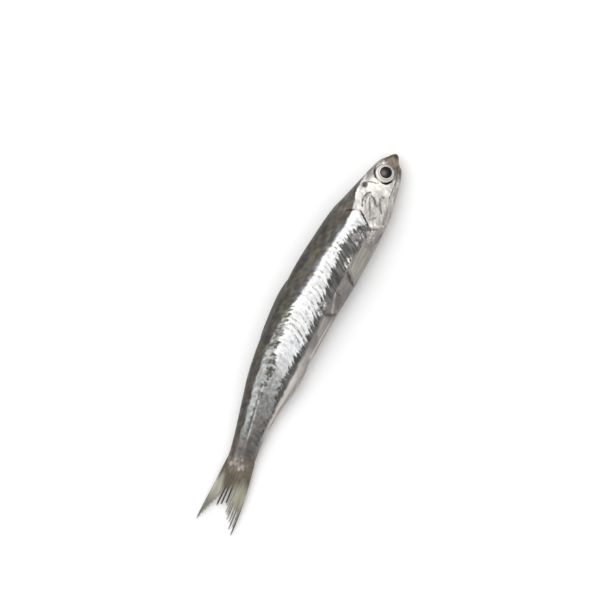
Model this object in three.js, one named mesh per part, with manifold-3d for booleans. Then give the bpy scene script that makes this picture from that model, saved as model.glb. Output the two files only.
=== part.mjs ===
// A fresh anchovy that lies on its left flank, in millimetres.
// +X runs from the tail to the snout, +Y from the belly to the back, and +Z up from the
// surface that the fish lies on. The origin is on that surface, under the middle of the fish.
import * as THREE from 'three';
import { mergeVertices } from 'three/addons/utils/BufferGeometryUtils.js';
import Module from 'manifold-3d';

// Driving dimensions. A station is a distance from the tip of the snout along the fish.
const TOTAL_LENGTH = 140;
const TRUNK_END = 122.4;
const SNOUT_ROUNDING = 1.5;
const TAIL_ROUNDING = 6.6;

// Outline of the trunk seen from the side, as [station, height above the fish's own axis].
const BACK_LINE = [
  [0, -2.35], [1.7, -1.25], [4.1, 0.8], [7.5, 2.15], [12.5, 3.7], [21, 6.2], [26, 7.75], [34.5, 9.05],
  [48, 10.45], [58, 10.6], [66, 10.4], [78, 9.8], [88.6, 8.3], [98.7, 5.85], [108.8, 3.35], [116, 2], [123, 1.9],
];
const BELLY_LINE = [
  [0, -4.45], [1.7, -5], [3.1, -5.9], [4.2, -7.3], [7.4, -8.5], [14.2, -10.05], [20.5, -11.15], [26, -11.35],
  [38, -11.05], [46, -10.7], [55, -9.9], [65, -9.2], [75, -8.7], [86, -7.6], [95.3, -6.35], [103, -6.3],
  [110, -6.65], [116, -7.2], [123, -7.9],
];

// Half of the thickness from flank to flank, and the height of the middle plane above the ground.
const HALF_THICKNESS = [
  [0, 1.4], [2, 1.9], [4.5, 2.65], [7.6, 3.5], [13, 4.5], [20, 5.2], [27, 5.65], [38, 5.85], [55, 5.75],
  [70, 5.3], [85, 4.35], [98, 3.1], [110, 2.05], [118, 1.4], [123, 0.9],
];
const MID_PLANE = [
  [0, 4.3], [8, 4.6], [20, 5.1], [32, 5.35], [70, 5.05], [86, 4.25], [98, 3.4], [110, 2.6], [119, 2.1], [140, 1.15],
];
const BELLY_FULLNESS = 0.58;
const BACK_FULLNESS = 0.45;
const UNDERSIDE_SQUASH = 0.97;

// Stations of the loft as [end, step], and the number of sides of a section.
const LOFT_STEPS = [
  [0.2, 0.1], [1.6, 0.45], [20.8, 0.96], [23.2, 0.6], [26, 0.4], [28.4, 0.6], [34, 1.3], [112, 2.5], [119.5, 1.5],
  [122.2, 0.7],
];
const SECTION_SIDES = 42;

// Gill cover: its rear edge as [height, station], how far it stands proud and how long its slope is.
const GILL_EDGE = [
  [-11.4, 21.8], [-10.7, 23], [-9.4, 24.7], [-7.7, 25.9], [-5.7, 26], [-3, 24.4], [-0.8, 22.7], [1.5, 23.4], [4.5, 24.8],
];
const GILL_TOP = 3.2;
const GILL_TOP_FADE = 1.2;
const GILL_RISE = 0.5;
const GILL_SLOPE = 9;
const GILL_STEP = 0.45;
const GILL_SLIT_DEPTH = 0.3;
const GILL_SLIT_WIDTH = 0.8;
// Sections near this station are bent along the cover's rear edge, which keeps that edge clean.
const GILL_STATION = 24.2;
const GILL_BEND = 5;

// Mouth: the line between the upper and the lower jaw as [station, height].
const MOUTH_LINE = [[3, -5.75], [4.7, -5.8], [7.4, -6.85], [10.8, -7.7], [18, -8.1]];
const MOUTH_END = 17;
const MOUTH_GROOVE = 0.5;
const MOUTH_GROOVE_WIDTH = 0.55;
const JAW_INSET = 0.4;
const UPPER_JAW_RISE = 0.25;
const UPPER_JAW_WIDTH = 0.8;

// Eyes: lens-shaped, set in sockets that leave a narrow gap all round.
const EYE_STATION = 7.6;
const EYE_HEIGHT = -2.7;
const EYE_RADIUS = 3.3;
const EYE_HALF_DEPTH = 1.3;
const EYE_PROUD = 0.4;
const EYE_LEAN = 0.235;
const EYE_GAP = 0.3;
const EYE_SIDES = 26;
const EYE_RINGS = 11;

// Tail fin: rays that fan out from the root, longest at both edges, with frayed ends at the fork.
const TAIL_RAYS = 17;
const TAIL_ROWS = 7;
const TAIL_ROOT = 116;
const TAIL_ROOT_EDGES = [1.85, -7.2];
const TAIL_TIP_EDGES = [2.1, -10.9];
const TAIL_FORK = 0.54;
const TAIL_FORK_STATION = 126;
const TAIL_FRAY = 5.5;
const TAIL_SLIT = 1.6;
const TAIL_RAY_HALF = [0.62, 0.24];
const TAIL_WEB_HALF = [0.45, 0.15];
const TAIL_WEB_SHORT = 0.3;
const TAIL_WAVE = 0.25;
const TAIL_FLARE = 0.7;

// Folded fins on both flanks. Edges are shares of the way from the belly to the back.
const PECTORAL = { root: 32.4, tip: 47.2, upper: [0.225, 0.12], lower: [0.03, 0.035], rise: 0.55, rays: 6, rows: 8 };
const PELVIC = { root: 58.2, tip: 68.4, upper: [0.13, 0.05], lower: [0.012, 0.012], rise: 0.45, rays: 4, rows: 5 };
const FLAP_DEPTH = 0.7;
const FLAP_RAY_RELIEF = 0.1;
const FLAP_TIP_SLANT = 0.16;
const FLAP_FRAY = 0.1;
const FLAP_EDGE = 0.45;
const FLAP_ROOT = 0.35;
const LEAST_RISE = 0.35;

// Fins folded against the middle of the back and of the belly: base, reach of the free tips and height.
const DORSAL = { root: 54.5, tip: 76, height: 0.72, half: 0.75, lean: 0.5, steps: 11 };
const ANAL = { root: 77, tip: 102.5, height: 0.95, half: 0.6, lean: 0.3, steps: 12 };
const KEEL_DEPTH = 1.4;
const KEEL_RAMP = 0.35;
const KEEL_LOW = 0.1;
const KEEL_TAPER = 0.6;
const KEEL_SHOULDER = 0.75;

// Colours of the plain finish.
const SILVER = '#a7a9aa';
const IRIS = '#c9c8c4';

// Smooth curve through a few [position, value] points, level beyond both ends.
function curveThrough(points) {
  const last = points.length - 1;
  const slopes = points.map((point, i) => {
    const before = points[Math.max(i - 1, 0)];
    const after = points[Math.min(i + 1, last)];
    return (after[1] - before[1]) / (after[0] - before[0]);
  });
  return (at) => {
    const x = THREE.MathUtils.clamp(at, points[0][0], points[last][0]);
    let i = 0;
    while (i < last - 1 && x > points[i + 1][0]) i += 1;
    const [x0, y0] = points[i];
    const [x1, y1] = points[i + 1];
    const span = x1 - x0;
    const t = (x - x0) / span;
    const bend0 = slopes[i] * span;
    const bend1 = slopes[i + 1] * span;
    return y0 + t * (bend0 + t * (3 * (y1 - y0) - 2 * bend0 - bend1 + t * (2 * (y0 - y1) + bend0 + bend1)));
  };
}

const backLine = curveThrough(BACK_LINE);
const bellyLine = curveThrough(BELLY_LINE);
const halfThickness = curveThrough(HALF_THICKNESS);
const midPlane = curveThrough(MID_PLANE);
const gillEdge = curveThrough(GILL_EDGE);
const mouthLine = curveThrough(MOUTH_LINE);
const lerp = THREE.MathUtils.lerp;
const ease = (x, from, to) => THREE.MathUtils.smoothstep(x, from, to);

// Repeatable scatter between 0 and 1.
function scatter(index) {
  const wave = Math.sin(index * 12.9898 + 4.1) * 43758.5453;
  return wave - Math.floor(wave);
}

// Rounds the snout and the rear end of the trunk to a point.
function endRounding(station) {
  const fromSnout = Math.max(1 - station / SNOUT_ROUNDING, 0);
  const fromTail = Math.max((station - (TRUNK_END - TAIL_ROUNDING)) / TAIL_ROUNDING, 0);
  return Math.sqrt(Math.max(1 - fromSnout ** 2, 0)) * Math.sqrt(Math.max(1 - fromTail ** 2, 0));
}

// Height on the fish's side at a share of the way from the belly to the back.
function sideHeight(station, share) {
  const belly = bellyLine(station);
  const back = backLine(station);
  const middle = (belly + back) / 2;
  return middle + (share - 0.5) * (back - belly) * endRounding(station);
}

// Thickness of a section at that share, against its greatest: fuller towards the back.
const fullShare = BELLY_FULLNESS / (BELLY_FULLNESS + BACK_FULLNESS);
const fullest = fullShare ** BELLY_FULLNESS * (1 - fullShare) ** BACK_FULLNESS;
function sectionProfile(share) {
  const inside = THREE.MathUtils.clamp(share, 0, 1);
  return inside ** BELLY_FULLNESS * (1 - inside) ** BACK_FULLNESS / fullest;
}

// How far the gill covers and the jaws stand out of the smooth side.
function headRelief(station, height) {
  const behind = station - gillEdge(height);
  const cover = behind > 0 ? 1 - ease(behind, 0, GILL_STEP) : ease(behind, -GILL_SLOPE, 0);
  const slit = Math.exp(-(((behind - GILL_SLIT_WIDTH / 2) / (GILL_SLIT_WIDTH / 2)) ** 2));
  const under = 1 - ease(height, GILL_TOP - GILL_TOP_FADE, GILL_TOP + GILL_TOP_FADE);
  const belowMouth = mouthLine(station) - height;
  const alongMouth = ease(station, 2.6, 3.4) * (1 - ease(station, MOUTH_END - 4, MOUTH_END));
  const groove = Math.exp(-((belowMouth / MOUTH_GROOVE_WIDTH) ** 2));
  const lowerJaw = ease(belowMouth, 0, 0.6);
  const upperJaw = Math.exp(-(((belowMouth + 1.3) / UPPER_JAW_WIDTH) ** 2));
  const mouth = UPPER_JAW_RISE * upperJaw - MOUTH_GROOVE * groove - JAW_INSET * lowerJaw;
  return under * (GILL_RISE * cover - GILL_SLIT_DEPTH * slit) + alongMouth * mouth;
}

// Point of the skin. Side is 1 on the right flank, which is on top, and -1 on the left one.
function skinPoint(station, share, side, proud = 0) {
  const height = sideHeight(station, share);
  const profile = sectionProfile(share);
  const rounding = endRounding(station);
  const relief = headRelief(station, height) * profile * rounding;
  const half = halfThickness(station) * rounding * profile * (side > 0 ? 1 : UNDERSIDE_SQUASH);
  const outward = (share - 0.5) * 2 * proud * (1 - profile);
  const z = midPlane(station) + side * (half + relief + proud * Math.max(profile, LEAST_RISE));
  return new THREE.Vector3(TOTAL_LENGTH / 2 - station, height + outward, Math.max(z, 0));
}

function closedMesh(points, triangles) {
  const geometry = new THREE.BufferGeometry();
  geometry.setAttribute('position', new THREE.Float32BufferAttribute(points.flatMap((p) => [p.x, p.y, p.z]), 3));
  geometry.setIndex(triangles);
  return geometry;
}

// Closed skin over rings of points, with a single point at either end.
function loft(rings, first, end) {
  const sides = rings[0].length;
  const points = [first, ...rings.flat(), end];
  const at = (ring, k) => 1 + ring * sides + (k % sides);
  const triangles = [];
  for (let k = 0; k < sides; k += 1) {
    triangles.push(0, at(0, k), at(0, k + 1));
    triangles.push(points.length - 1, at(rings.length - 1, k + 1), at(rings.length - 1, k));
    for (let ring = 0; ring + 1 < rings.length; ring += 1) {
      triangles.push(at(ring, k), at(ring + 1, k), at(ring + 1, k + 1));
      triangles.push(at(ring, k), at(ring + 1, k + 1), at(ring, k + 1));
    }
  }
  return closedMesh(points, triangles);
}

// Thin closed solid between two grids of points of the same size, the upper one facing up.
function slab(upper, lower) {
  const rows = upper.length;
  const columns = upper[0].length;
  const points = [...upper.flat(), ...lower.flat()];
  const above = (r, c) => r * columns + c;
  const below = (r, c) => rows * columns + above(r, c);
  const triangles = [];
  const quad = (a, b, c, d) => triangles.push(a, b, c, a, c, d);
  for (let r = 0; r + 1 < rows; r += 1) {
    for (let c = 0; c + 1 < columns; c += 1) {
      quad(above(r, c), above(r + 1, c), above(r + 1, c + 1), above(r, c + 1));
      quad(below(r, c), below(r, c + 1), below(r + 1, c + 1), below(r + 1, c));
    }
  }
  for (let r = 0; r + 1 < rows; r += 1) {
    quad(above(r, 0), below(r, 0), below(r + 1, 0), above(r + 1, 0));
    quad(above(r + 1, columns - 1), below(r + 1, columns - 1), below(r, columns - 1), above(r, columns - 1));
  }
  for (let c = 0; c + 1 < columns; c += 1) {
    quad(above(0, c + 1), below(0, c + 1), below(0, c), above(0, c));
    quad(above(rows - 1, c), below(rows - 1, c), below(rows - 1, c + 1), above(rows - 1, c + 1));
  }
  return closedMesh(points, triangles);
}

// Station of a section's point: sections near the gill cover lie along its rear edge.
function bentStation(station, share) {
  const height = Math.min(sideHeight(station, share), GILL_TOP);
  const near = Math.exp(-(((station - GILL_STATION) / GILL_BEND) ** 2));
  return station + near * (gillEdge(height) - GILL_STATION);
}

function trunkGeometry() {
  const stations = [];
  let station = 0;
  for (const [end, step] of LOFT_STEPS) {
    for (; station + step < end + step / 2; station += step) stations.push(station + step);
  }
  const rings = stations.map((at) => Array.from({ length: SECTION_SIDES }, (_, k) => {
    const turn = (2 * Math.PI * k) / SECTION_SIDES;
    const share = (1 + Math.cos(turn)) / 2;
    return skinPoint(bentStation(at, share), share, Math.sin(turn) >= 0 ? 1 : -1);
  }));
  const tip = skinPoint(0, 0.5, 1);
  const end = skinPoint(TRUNK_END, 0.5, 1);
  return loft(rings, tip, end);
}

// Fan of rays: even columns are rays, odd ones the web between them, which ends short of the tips.
function tailGeometry() {
  const columns = 2 * TAIL_RAYS - 1;
  const upper = [];
  const lower = [];
  for (let row = 0; row <= TAIL_ROWS; row += 1) {
    const along = row / TAIL_ROWS;
    const top = [];
    const bottom = [];
    for (let column = 0; column < columns; column += 1) {
      const across = column / (columns - 1);
      const onRay = column % 2 === 0;
      const lobe = across < TAIL_FORK ? 1 - across / TAIL_FORK : (across - TAIL_FORK) / (1 - TAIL_FORK);
      const even = lerp(TAIL_FORK_STATION, TOTAL_LENGTH, lobe);
      const frayed = TAIL_FRAY * (1 - lobe) * scatter(column);
      const reach = onRay ? Math.min(even + frayed, TOTAL_LENGTH) : even - TAIL_SLIT * scatter(column) - TAIL_WEB_SHORT;
      const at = lerp(TAIL_ROOT, reach, along);
      const fan = (at - TAIL_ROOT) / (TOTAL_LENGTH - TAIL_ROOT);
      const root = lerp(TAIL_ROOT_EDGES[0], TAIL_ROOT_EDGES[1], across);
      const tip = lerp(TAIL_TIP_EDGES[0], TAIL_TIP_EDGES[1], across);
      const height = lerp(root, tip, fan * (1 + TAIL_FLARE - TAIL_FLARE * fan));
      const half = lerp(...(onRay ? TAIL_RAY_HALF : TAIL_WEB_HALF), fan);
      const level = midPlane(at) + TAIL_WAVE * fan * Math.sin(2 * Math.PI * across);
      const x = TOTAL_LENGTH / 2 - at;
      top.push(new THREE.Vector3(x, height, level + half));
      bottom.push(new THREE.Vector3(x, height, level - half));
    }
    upper.push(top);
    lower.push(bottom);
  }
  return slab(upper, lower);
}

// Fin folded flat on one flank: a low flap that fades in at its root and ends in ray tips.
function flapGeometry(fin, side) {
  const columns = 2 * fin.rays - 1;
  const outer = [];
  const inner = [];
  for (let row = 0; row <= fin.rows; row += 1) {
    const along = row / fin.rows;
    const skin = [];
    const root = [];
    for (let column = 0; column < columns; column += 1) {
      const across = column / (columns - 1);
      const onRay = column % 2 === 0;
      const shorter = FLAP_TIP_SLANT * (1 - across) ** 2 + (onRay ? 0 : FLAP_FRAY);
      const at = lerp(fin.root, lerp(fin.root, fin.tip, 1 - shorter), along);
      const spread = (at - fin.root) / (fin.tip - fin.root);
      const high = lerp(fin.upper[0], fin.upper[1], spread ** 2);
      const low = lerp(fin.lower[0], fin.lower[1], spread);
      const share = lerp(high, low, across);
      const swell = Math.sin(Math.PI * Math.min(along * 0.9 + 0.1, 1)) ** 0.5;
      const edge = column === 0 || column === columns - 1 ? FLAP_EDGE : 1;
      const proud = fin.rise * lerp(FLAP_ROOT, 1, swell) * edge + (onRay ? FLAP_RAY_RELIEF : 0);
      skin.push(skinPoint(at, share, side, proud));
      root.push(skinPoint(at, share, side, -FLAP_DEPTH));
    }
    outer.push(skin);
    inner.push(root);
  }
  return side > 0 ? slab(outer, inner) : slab(inner, outer);
}

// Fin folded along the middle line of the back (edge 1) or the belly (edge -1).
function keelGeometry(fin, edge) {
  const line = edge > 0 ? backLine : bellyLine;
  const rings = [];
  for (let step = 0; step <= fin.steps; step += 1) {
    const along = step / fin.steps;
    const at = lerp(fin.root, fin.tip, along);
    const height = fin.height * Math.sin((Math.PI / 2) * Math.min(along / KEEL_RAMP, 1)) * (1 - along ** 3) + KEEL_LOW;
    const half = fin.half * (1 - KEEL_TAPER * along);
    const x = TOTAL_LENGTH / 2 - at;
    const level = midPlane(at);
    const foot = line(at) - edge * KEEL_DEPTH;
    const rim = line(at) + edge * height;
    const shoulder = lerp(foot, rim, KEEL_SHOULDER);
    const lean = fin.lean * height;
    rings.push([
      new THREE.Vector3(x, foot, level - half),
      new THREE.Vector3(x, shoulder, level + lean / 2 - half * KEEL_SHOULDER),
      new THREE.Vector3(x, rim, level + lean),
      new THREE.Vector3(x, shoulder, level + lean / 2 + half * KEEL_SHOULDER),
      new THREE.Vector3(x, foot, level + half),
    ]);
  }
  if (edge < 0) rings.forEach((ring) => ring.reverse());
  const middle = (ring) => ring.reduce((sum, p) => sum.add(p), new THREE.Vector3()).divideScalar(ring.length);
  return loft(rings, middle(rings[0]), middle(rings.at(-1)));
}

// Lens of the eye or, with a gap, of its socket. Its poles lie across the flank.
function eyeGeometry(side, gap = 0) {
  const share = (EYE_HEIGHT - bellyLine(EYE_STATION)) / (backLine(EYE_STATION) - bellyLine(EYE_STATION));
  const surface = skinPoint(EYE_STATION, share, side);
  const lens = new THREE.SphereGeometry(1, EYE_SIDES, EYE_RINGS);
  lens.rotateX(Math.PI / 2);
  lens.scale(EYE_RADIUS + gap, EYE_RADIUS + gap, EYE_HALF_DEPTH + gap);
  lens.rotateY(side * EYE_LEAN);
  const depth = EYE_HALF_DEPTH - EYE_PROUD;
  lens.translate(surface.x - depth * Math.sin(EYE_LEAN), surface.y, surface.z - side * depth * Math.cos(EYE_LEAN));
  return lens;
}

const wasm = await Module();
wasm.setup();

function asSolid(geometry) {
  const bare = geometry.clone();
  bare.deleteAttribute('normal');
  bare.deleteAttribute('uv');
  const merged = mergeVertices(bare, 1e-5);
  const mesh = new wasm.Mesh({
    numProp: 3,
    vertProperties: new Float32Array(merged.attributes.position.array),
    triVerts: new Uint32Array(merged.index.array),
  });
  return new wasm.Manifold(mesh);
}

function asGeometry(solid) {
  const { vertProperties, triVerts, numProp } = solid.getMesh();
  const positions = new Float32Array((vertProperties.length / numProp) * 3);
  for (let i = 0; i < positions.length / 3; i += 1) {
    positions.set(vertProperties.subarray(i * numProp, i * numProp + 3), i * 3);
  }
  const geometry = new THREE.BufferGeometry();
  geometry.setAttribute('position', new THREE.BufferAttribute(positions, 3));
  geometry.setIndex(Array.from(triVerts));
  geometry.computeVertexNormals();
  return geometry;
}

function fishGeometry() {
  const fins = [
    tailGeometry(),
    ...[1, -1].map((side) => flapGeometry(PECTORAL, side)),
    ...[1, -1].map((side) => flapGeometry(PELVIC, side)),
    keelGeometry(DORSAL, 1),
    keelGeometry(ANAL, -1),
  ];
  const whole = fins.reduce((solid, fin) => solid.add(asSolid(fin)), asSolid(trunkGeometry()));
  return asGeometry([1, -1].reduce((solid, side) => solid.subtract(asSolid(eyeGeometry(side, EYE_GAP))), whole));
}

function namedMesh(name, geometry, material) {
  const mesh = new THREE.Mesh(geometry, material);
  mesh.name = name;
  return mesh;
}

const skin = new THREE.MeshStandardMaterial({ color: SILVER, roughness: 0.38, metalness: 0.6 });
const eye = new THREE.MeshStandardMaterial({ color: IRIS, roughness: 0.15, metalness: 0.3 });

const fish = new THREE.Group();
fish.add(namedMesh('anchovy', fishGeometry(), skin));
fish.add(namedMesh('eye_right', eyeGeometry(1), eye));
fish.add(namedMesh('eye_left', eyeGeometry(-1), eye));

export default fish;
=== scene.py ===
"""Looks of a fresh anchovy that lies on its left flank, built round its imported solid.

Lengths are millimetres in the fish's own frame: a station is a distance along the fish from the
tip of its snout, a height runs from its belly to its back, a level is a height over the floor, and
out is a distance from the fish's middle plane. Meshes are made in metres, +X from the tail to the
snout, +Y from the belly to the back and +Z up.
"""

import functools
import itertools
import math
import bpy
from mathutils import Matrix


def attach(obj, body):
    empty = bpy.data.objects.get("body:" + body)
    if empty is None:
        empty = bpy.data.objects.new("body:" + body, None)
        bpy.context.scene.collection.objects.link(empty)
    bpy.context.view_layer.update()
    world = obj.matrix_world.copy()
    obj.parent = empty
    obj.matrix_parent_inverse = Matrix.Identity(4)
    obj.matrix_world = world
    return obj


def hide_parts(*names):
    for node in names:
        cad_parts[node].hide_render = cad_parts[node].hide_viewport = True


bl_info = {
    "name": "Fresh anchovy",
    "version": (1, 0, 0),
    "blender": (4, 5, 0),
    "location": "3D View > Sidebar > Anchovy",
    "description": "Builds the skin, eyes and fins of a fresh anchovy, and a pale stage",
    "category": "Object",
}

from types import SimpleNamespace

import bpy
import numpy as np
from bpy.props import FloatProperty, FloatVectorProperty, PointerProperty
from bpy.types import Operator, Panel, PropertyGroup
from mathutils import Matrix, Vector

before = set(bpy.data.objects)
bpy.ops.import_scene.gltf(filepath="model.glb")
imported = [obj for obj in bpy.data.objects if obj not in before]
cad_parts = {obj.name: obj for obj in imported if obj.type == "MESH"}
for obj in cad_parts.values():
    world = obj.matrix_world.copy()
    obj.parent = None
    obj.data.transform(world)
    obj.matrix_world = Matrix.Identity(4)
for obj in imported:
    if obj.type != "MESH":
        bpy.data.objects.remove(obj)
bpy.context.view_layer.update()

MM = 0.001
BODY = "root"
FISH_NODE = "anchovy"


def curve_through(*points):
    """Smooth curve through a few (position, value) points, level beyond both ends."""
    at, value = np.array(points, float).T
    ahead = np.minimum(np.arange(len(at)) + 1, len(at) - 1)
    behind = np.maximum(np.arange(len(at)) - 1, 0)
    slope = (value[ahead] - value[behind]) / (at[ahead] - at[behind])

    def curve(x):
        x = np.clip(x, at[0], at[-1])
        i = np.clip(np.searchsorted(at, x, side="right") - 1, 0, len(at) - 2)
        span = at[i + 1] - at[i]
        t = (x - at[i]) / span
        rise = value[i + 1] - value[i]
        bend0 = slope[i] * span
        bend1 = slope[i + 1] * span
        return value[i] + t * (bend0 + t * (3 * rise - 2 * bend0 - bend1 + t * (bend0 + bend1 - 2 * rise)))

    return curve


def ease(x, low, high):
    """Smooth step from 0 at low to 1 at high."""
    t = np.clip((x - low) / (high - low), 0, 1)
    return t * t * (3 - 2 * t)


def lerp(a, b, t):
    return a + (b - a) * t


def bell(x, width):
    return np.exp(-((x / width) ** 2))


def box(x, low, high, soft):
    """1 between low and high, 0 outside."""
    return ease(x, low - soft, low + soft) * (1 - ease(x, high - soft, high + soft))


# Outline, thickness and lie of the fish, as in the solid's source.
TOTAL_LENGTH = 140
TRUNK_END = 122.4
SNOUT_ROUNDING = 1.5
TAIL_ROUNDING = 6.6
back_line = curve_through(
    (0, -2.35), (1.7, -1.25), (4.1, 0.8), (7.5, 2.15), (12.5, 3.7), (21, 6.2), (26, 7.75), (34.5, 9.05),
    (48, 10.45), (58, 10.6), (66, 10.4), (78, 9.8), (88.6, 8.3), (98.7, 5.85), (108.8, 3.35), (116, 2),
    (123, 1.9),
)
belly_line = curve_through(
    (0, -4.45), (1.7, -5), (3.1, -5.9), (4.2, -7.3), (7.4, -8.5), (14.2, -10.05), (20.5, -11.15),
    (26, -11.35), (38, -11.05), (46, -10.7), (55, -9.9), (65, -9.2), (75, -8.7), (86, -7.6),
    (95.3, -6.35), (103, -6.3), (110, -6.65), (116, -7.2), (123, -7.9),
)
half_thickness = curve_through(
    (0, 1.4), (2, 1.9), (4.5, 2.65), (7.6, 3.5), (13, 4.5), (20, 5.2), (27, 5.65), (38, 5.85), (55, 5.75),
    (70, 5.3), (85, 4.35), (98, 3.1), (110, 2.05), (118, 1.4), (123, 0.9),
)
mid_plane = curve_through(
    (0, 4.3), (8, 4.6), (20, 5.1), (32, 5.35), (70, 5.05), (86, 4.25), (98, 3.4), (110, 2.6), (119, 2.1),
    (140, 1.15),
)
BELLY_FULLNESS = 0.58
BACK_FULLNESS = 0.45
UNDERSIDE_SQUASH = 0.97

# The skin runs out thin into the tail fin, so that no step shows between them.
TAIL_THINNING = 0.75
TAIL_THIN_STATIONS = (114, 121)

# Gill cover and mouth, as in the solid's source.
gill_edge = curve_through(
    (-11.4, 21.8), (-10.7, 23), (-9.4, 24.7), (-7.7, 25.9), (-5.7, 26), (-3, 24.4), (-0.8, 22.7),
    (1.5, 23.4), (4.5, 24.8),
)
GILL_TOP = 3.2
GILL_RISE = 0.5
GILL_SLOPE = 9
GILL_SLIT_DEPTH = 0.3
GILL_SLIT_WIDTH = 0.8
mouth_line = curve_through((3, -5.75), (4.7, -5.8), (7.4, -6.85), (10.8, -7.7), (18, -8.1))
MOUTH_END = 17
MOUTH_GROOVE = 0.5
MOUTH_GROOVE_WIDTH = 0.55
JAW_INSET = 0.4
UPPER_JAW_RISE = 0.25
UPPER_JAW_WIDTH = 0.8

# Eyes, as in the solid's source.
EYE_STATION = 7.6
EYE_HEIGHT = -2.7
EYE_RADIUS = 3.3
EYE_HALF_DEPTH = 1.3
EYE_PROUD = 0.4
EYE_LEAN = 0.235

# Borders between the tones of the flank, from the back down: height by station.
back_edge = curve_through(
    (-1, 6.5), (5.7, 4.6), (9.5, 3.3), (11.3, 3.1), (14, 3.2), (17.6, 3.25), (19.5, 2.8), (20.6, 2.35),
    (22.6, 1.9), (24.8, 1.65), (28, 1.75), (32.2, 2.05), (36.4, 2.8), (39.8, 3.3), (43.5, 3.55),
    (51.1, 3.85), (57.1, 4.7), (61, 5.75), (66, 6.7), (77, 6.7), (81.5, 6.2), (85.9, 5.5), (90, 5),
    (94.2, 4.1), (99.8, 2.95), (105.5, 1.9), (108.8, 1.3), (112.2, 0.6), (119, 0),
)
sheen_low = curve_through(
    (74, 5.4), (78, 4.7), (81.5, 3.8), (85.9, 3), (90, 2.45), (94.2, 1.75), (99.8, 0.95), (105.5, 0.4),
    (108.8, -0.1), (115.6, -0.8),
)
speckle_low = curve_through(
    (57, 5.2), (60.5, 4.8), (66, 4.5), (71.7, 3.8), (77.4, 3), (81.5, 1.5), (85.9, 1.1), (90, 1.2),
    (94.2, 0.9), (99.8, 0.3), (105.5, -0.4),
)
lateral_line = curve_through(
    (88, 2), (90.2, 1.88), (94.2, 1.18), (97, 0.63), (99.8, 0.1), (102.6, -0.35), (105.5, -0.9),
    (110, -1.6), (117, -2.4),
)
silver_low = curve_through(
    (22.6, -10.4), (24.7, -7.7), (26.7, -4.3), (29.1, -1.7), (32.8, -0.9), (37.9, -0.7), (41.2, -1.1),
    (44.6, -1.4), (51.4, -2.2), (58.1, -2.7), (64.9, -3.5), (71.7, -3.6), (78.4, -3.2), (85.2, -3.05),
    (89.7, -3.5), (93, -4.05), (97, -4.6), (101, -5), (105, -5.3), (112, -6),
)
lower_low = curve_through(
    (22.6, -10.4), (28.4, -6.9), (32.8, -6.4), (37.9, -6), (44.6, -5.8), (51.4, -5.7), (64.9, -5.6),
    (78.4, -5.45), (85.2, -5.35), (95.3, -5.3), (105.5, -5.4), (115.6, -6.4),
)
jaw_low = curve_through((2, -5.4), (9, -7.6), (15, -8), (21, -8.8), (26, -9.4))

# How strongly each tone shows along the fish: strength by station.
silver_strength = curve_through(
    (20, 1), (72, 1), (77, 0.95), (82, 0.62), (88, 0.36), (93, 0.2), (100, 0.12), (108, 0.08), (125, 0.08)
)
sheen_strength = curve_through((76, 0), (81, 0.6), (85, 0.95), (101, 0.9), (106, 0.5), (111, 0.15), (117, 0))
speckle_strength = curve_through((54, 0), (58, 0.8), (62, 1), (92, 1), (98, 0.4), (104, 0))
lower_strength = curve_through((56, 0), (72, 0.25), (78, 0.9), (95, 0.95), (103, 0.5), (110, 0))

# How blurred and how ragged the lower edge of the back is, in mm by station.
back_blur = curve_through((20, 0.35), (40, 0.7), (56, 0.6), (64, 0.4), (120, 0.35))
back_raggedness = curve_through((30, 0.25), (56, 0.6), (66, 1.1), (78, 0.8), (86, 0.4), (120, 0.4))

# Brightness of the belly along the fish, where 0.5 leaves its colour as it is: brightness by station.
belly_shade = curve_through(
    (22, 0.6), (30, 0.55), (38, 0.5), (46, 0.48), (50, 0.39), (54, 0.33), (57, 0.38), (62, 0.44),
    (70, 0.47), (78, 0.95), (88, 1.1), (96, 1), (106, 0.6), (120, 0.4),
)

# Muscle blocks: their spacing along the fish, and how fast their lines curve back from the apex.
block_spacing = curve_through((0, 1.85), (40, 1.85), (60, 2.05), (90, 2.1), (123, 1.7))
BLOCK_APEX = 0.61
BLOCK_CURVE_BELOW = 4.6
BLOCK_CURVE_ABOVE = 2.8
BLOCK_REACH = 5.5
BLOCK_RELIEF = 0.045
BLOCK_TOOTH = 0.9
BLOCK_WANDER = 0.25

# Dashes between the blocks where they show dark in the silver, painted shade of the ridges between the
# blocks: strength, stations and heights.
DASHES = (
    (0.85, (57, 73), (-2.5, 0.3)),
    (0.6, (45.5, 57), (-1.6, 1)),
    (0.85, (33.5, 45), (-0.3, 2.7)),
    (0.6, (44, 56), (0.6, 3.2)),
    (0.75, (63.5, 69.5), (0.8, 4.4)),
    (0.35, (70, 78), (-1.6, 2.6)),
)
LEAST_DASH = 0.1

# Patches where loose scales stick to the flank: middle station and height, and half sizes.
SCALE_PATCHES = (
    (58, -3.8, 3.4, 1.5), (31.3, -4.3, 3.2, 2.1), (40, -4.9, 3, 1.1), (27.4, -6.3, 1.9, 2.5),
    (29.8, -8.4, 1.9, 1.2),
)
SCALE_LENGTH = 1.5
SCALE_HEIGHT = 0.9

# Pale loose scales at the root of the tail fin: middle station and height, and half sizes.
ROOT_SCALES = (
    (118, -0.1, 0.8, 0.5), (116.7, -0.9, 0.9, 0.55), (117.5, -1.6, 0.5, 0.35), (118.6, -3.4, 0.6, 0.5),
    (117.5, -4, 0.7, 0.55), (118.3, -4.6, 0.45, 0.35), (115.4, -2.9, 0.4, 0.3),
)

# How strongly the fine streaks show: on the lower flank by station, then in each tone from the bottom up.
lower_grain = curve_through((26, 0.8), (74, 0.8), (84, 0.55), (94, 0.44), (120, 0.4))
GRAIN = (
    ("belly", 0.2), ("silver", 0.3), ("speckle", 0.9), ("sheen", 0.56), ("back", 0.58), ("root", 0.4),
    ("head", 0.68), ("cheek", 0.4), ("snout", 0.6),
)

# Stations between which the streaks along the blocks give way to fine ones.
STREAKS_TURN_FINE = (76, 90)

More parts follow.
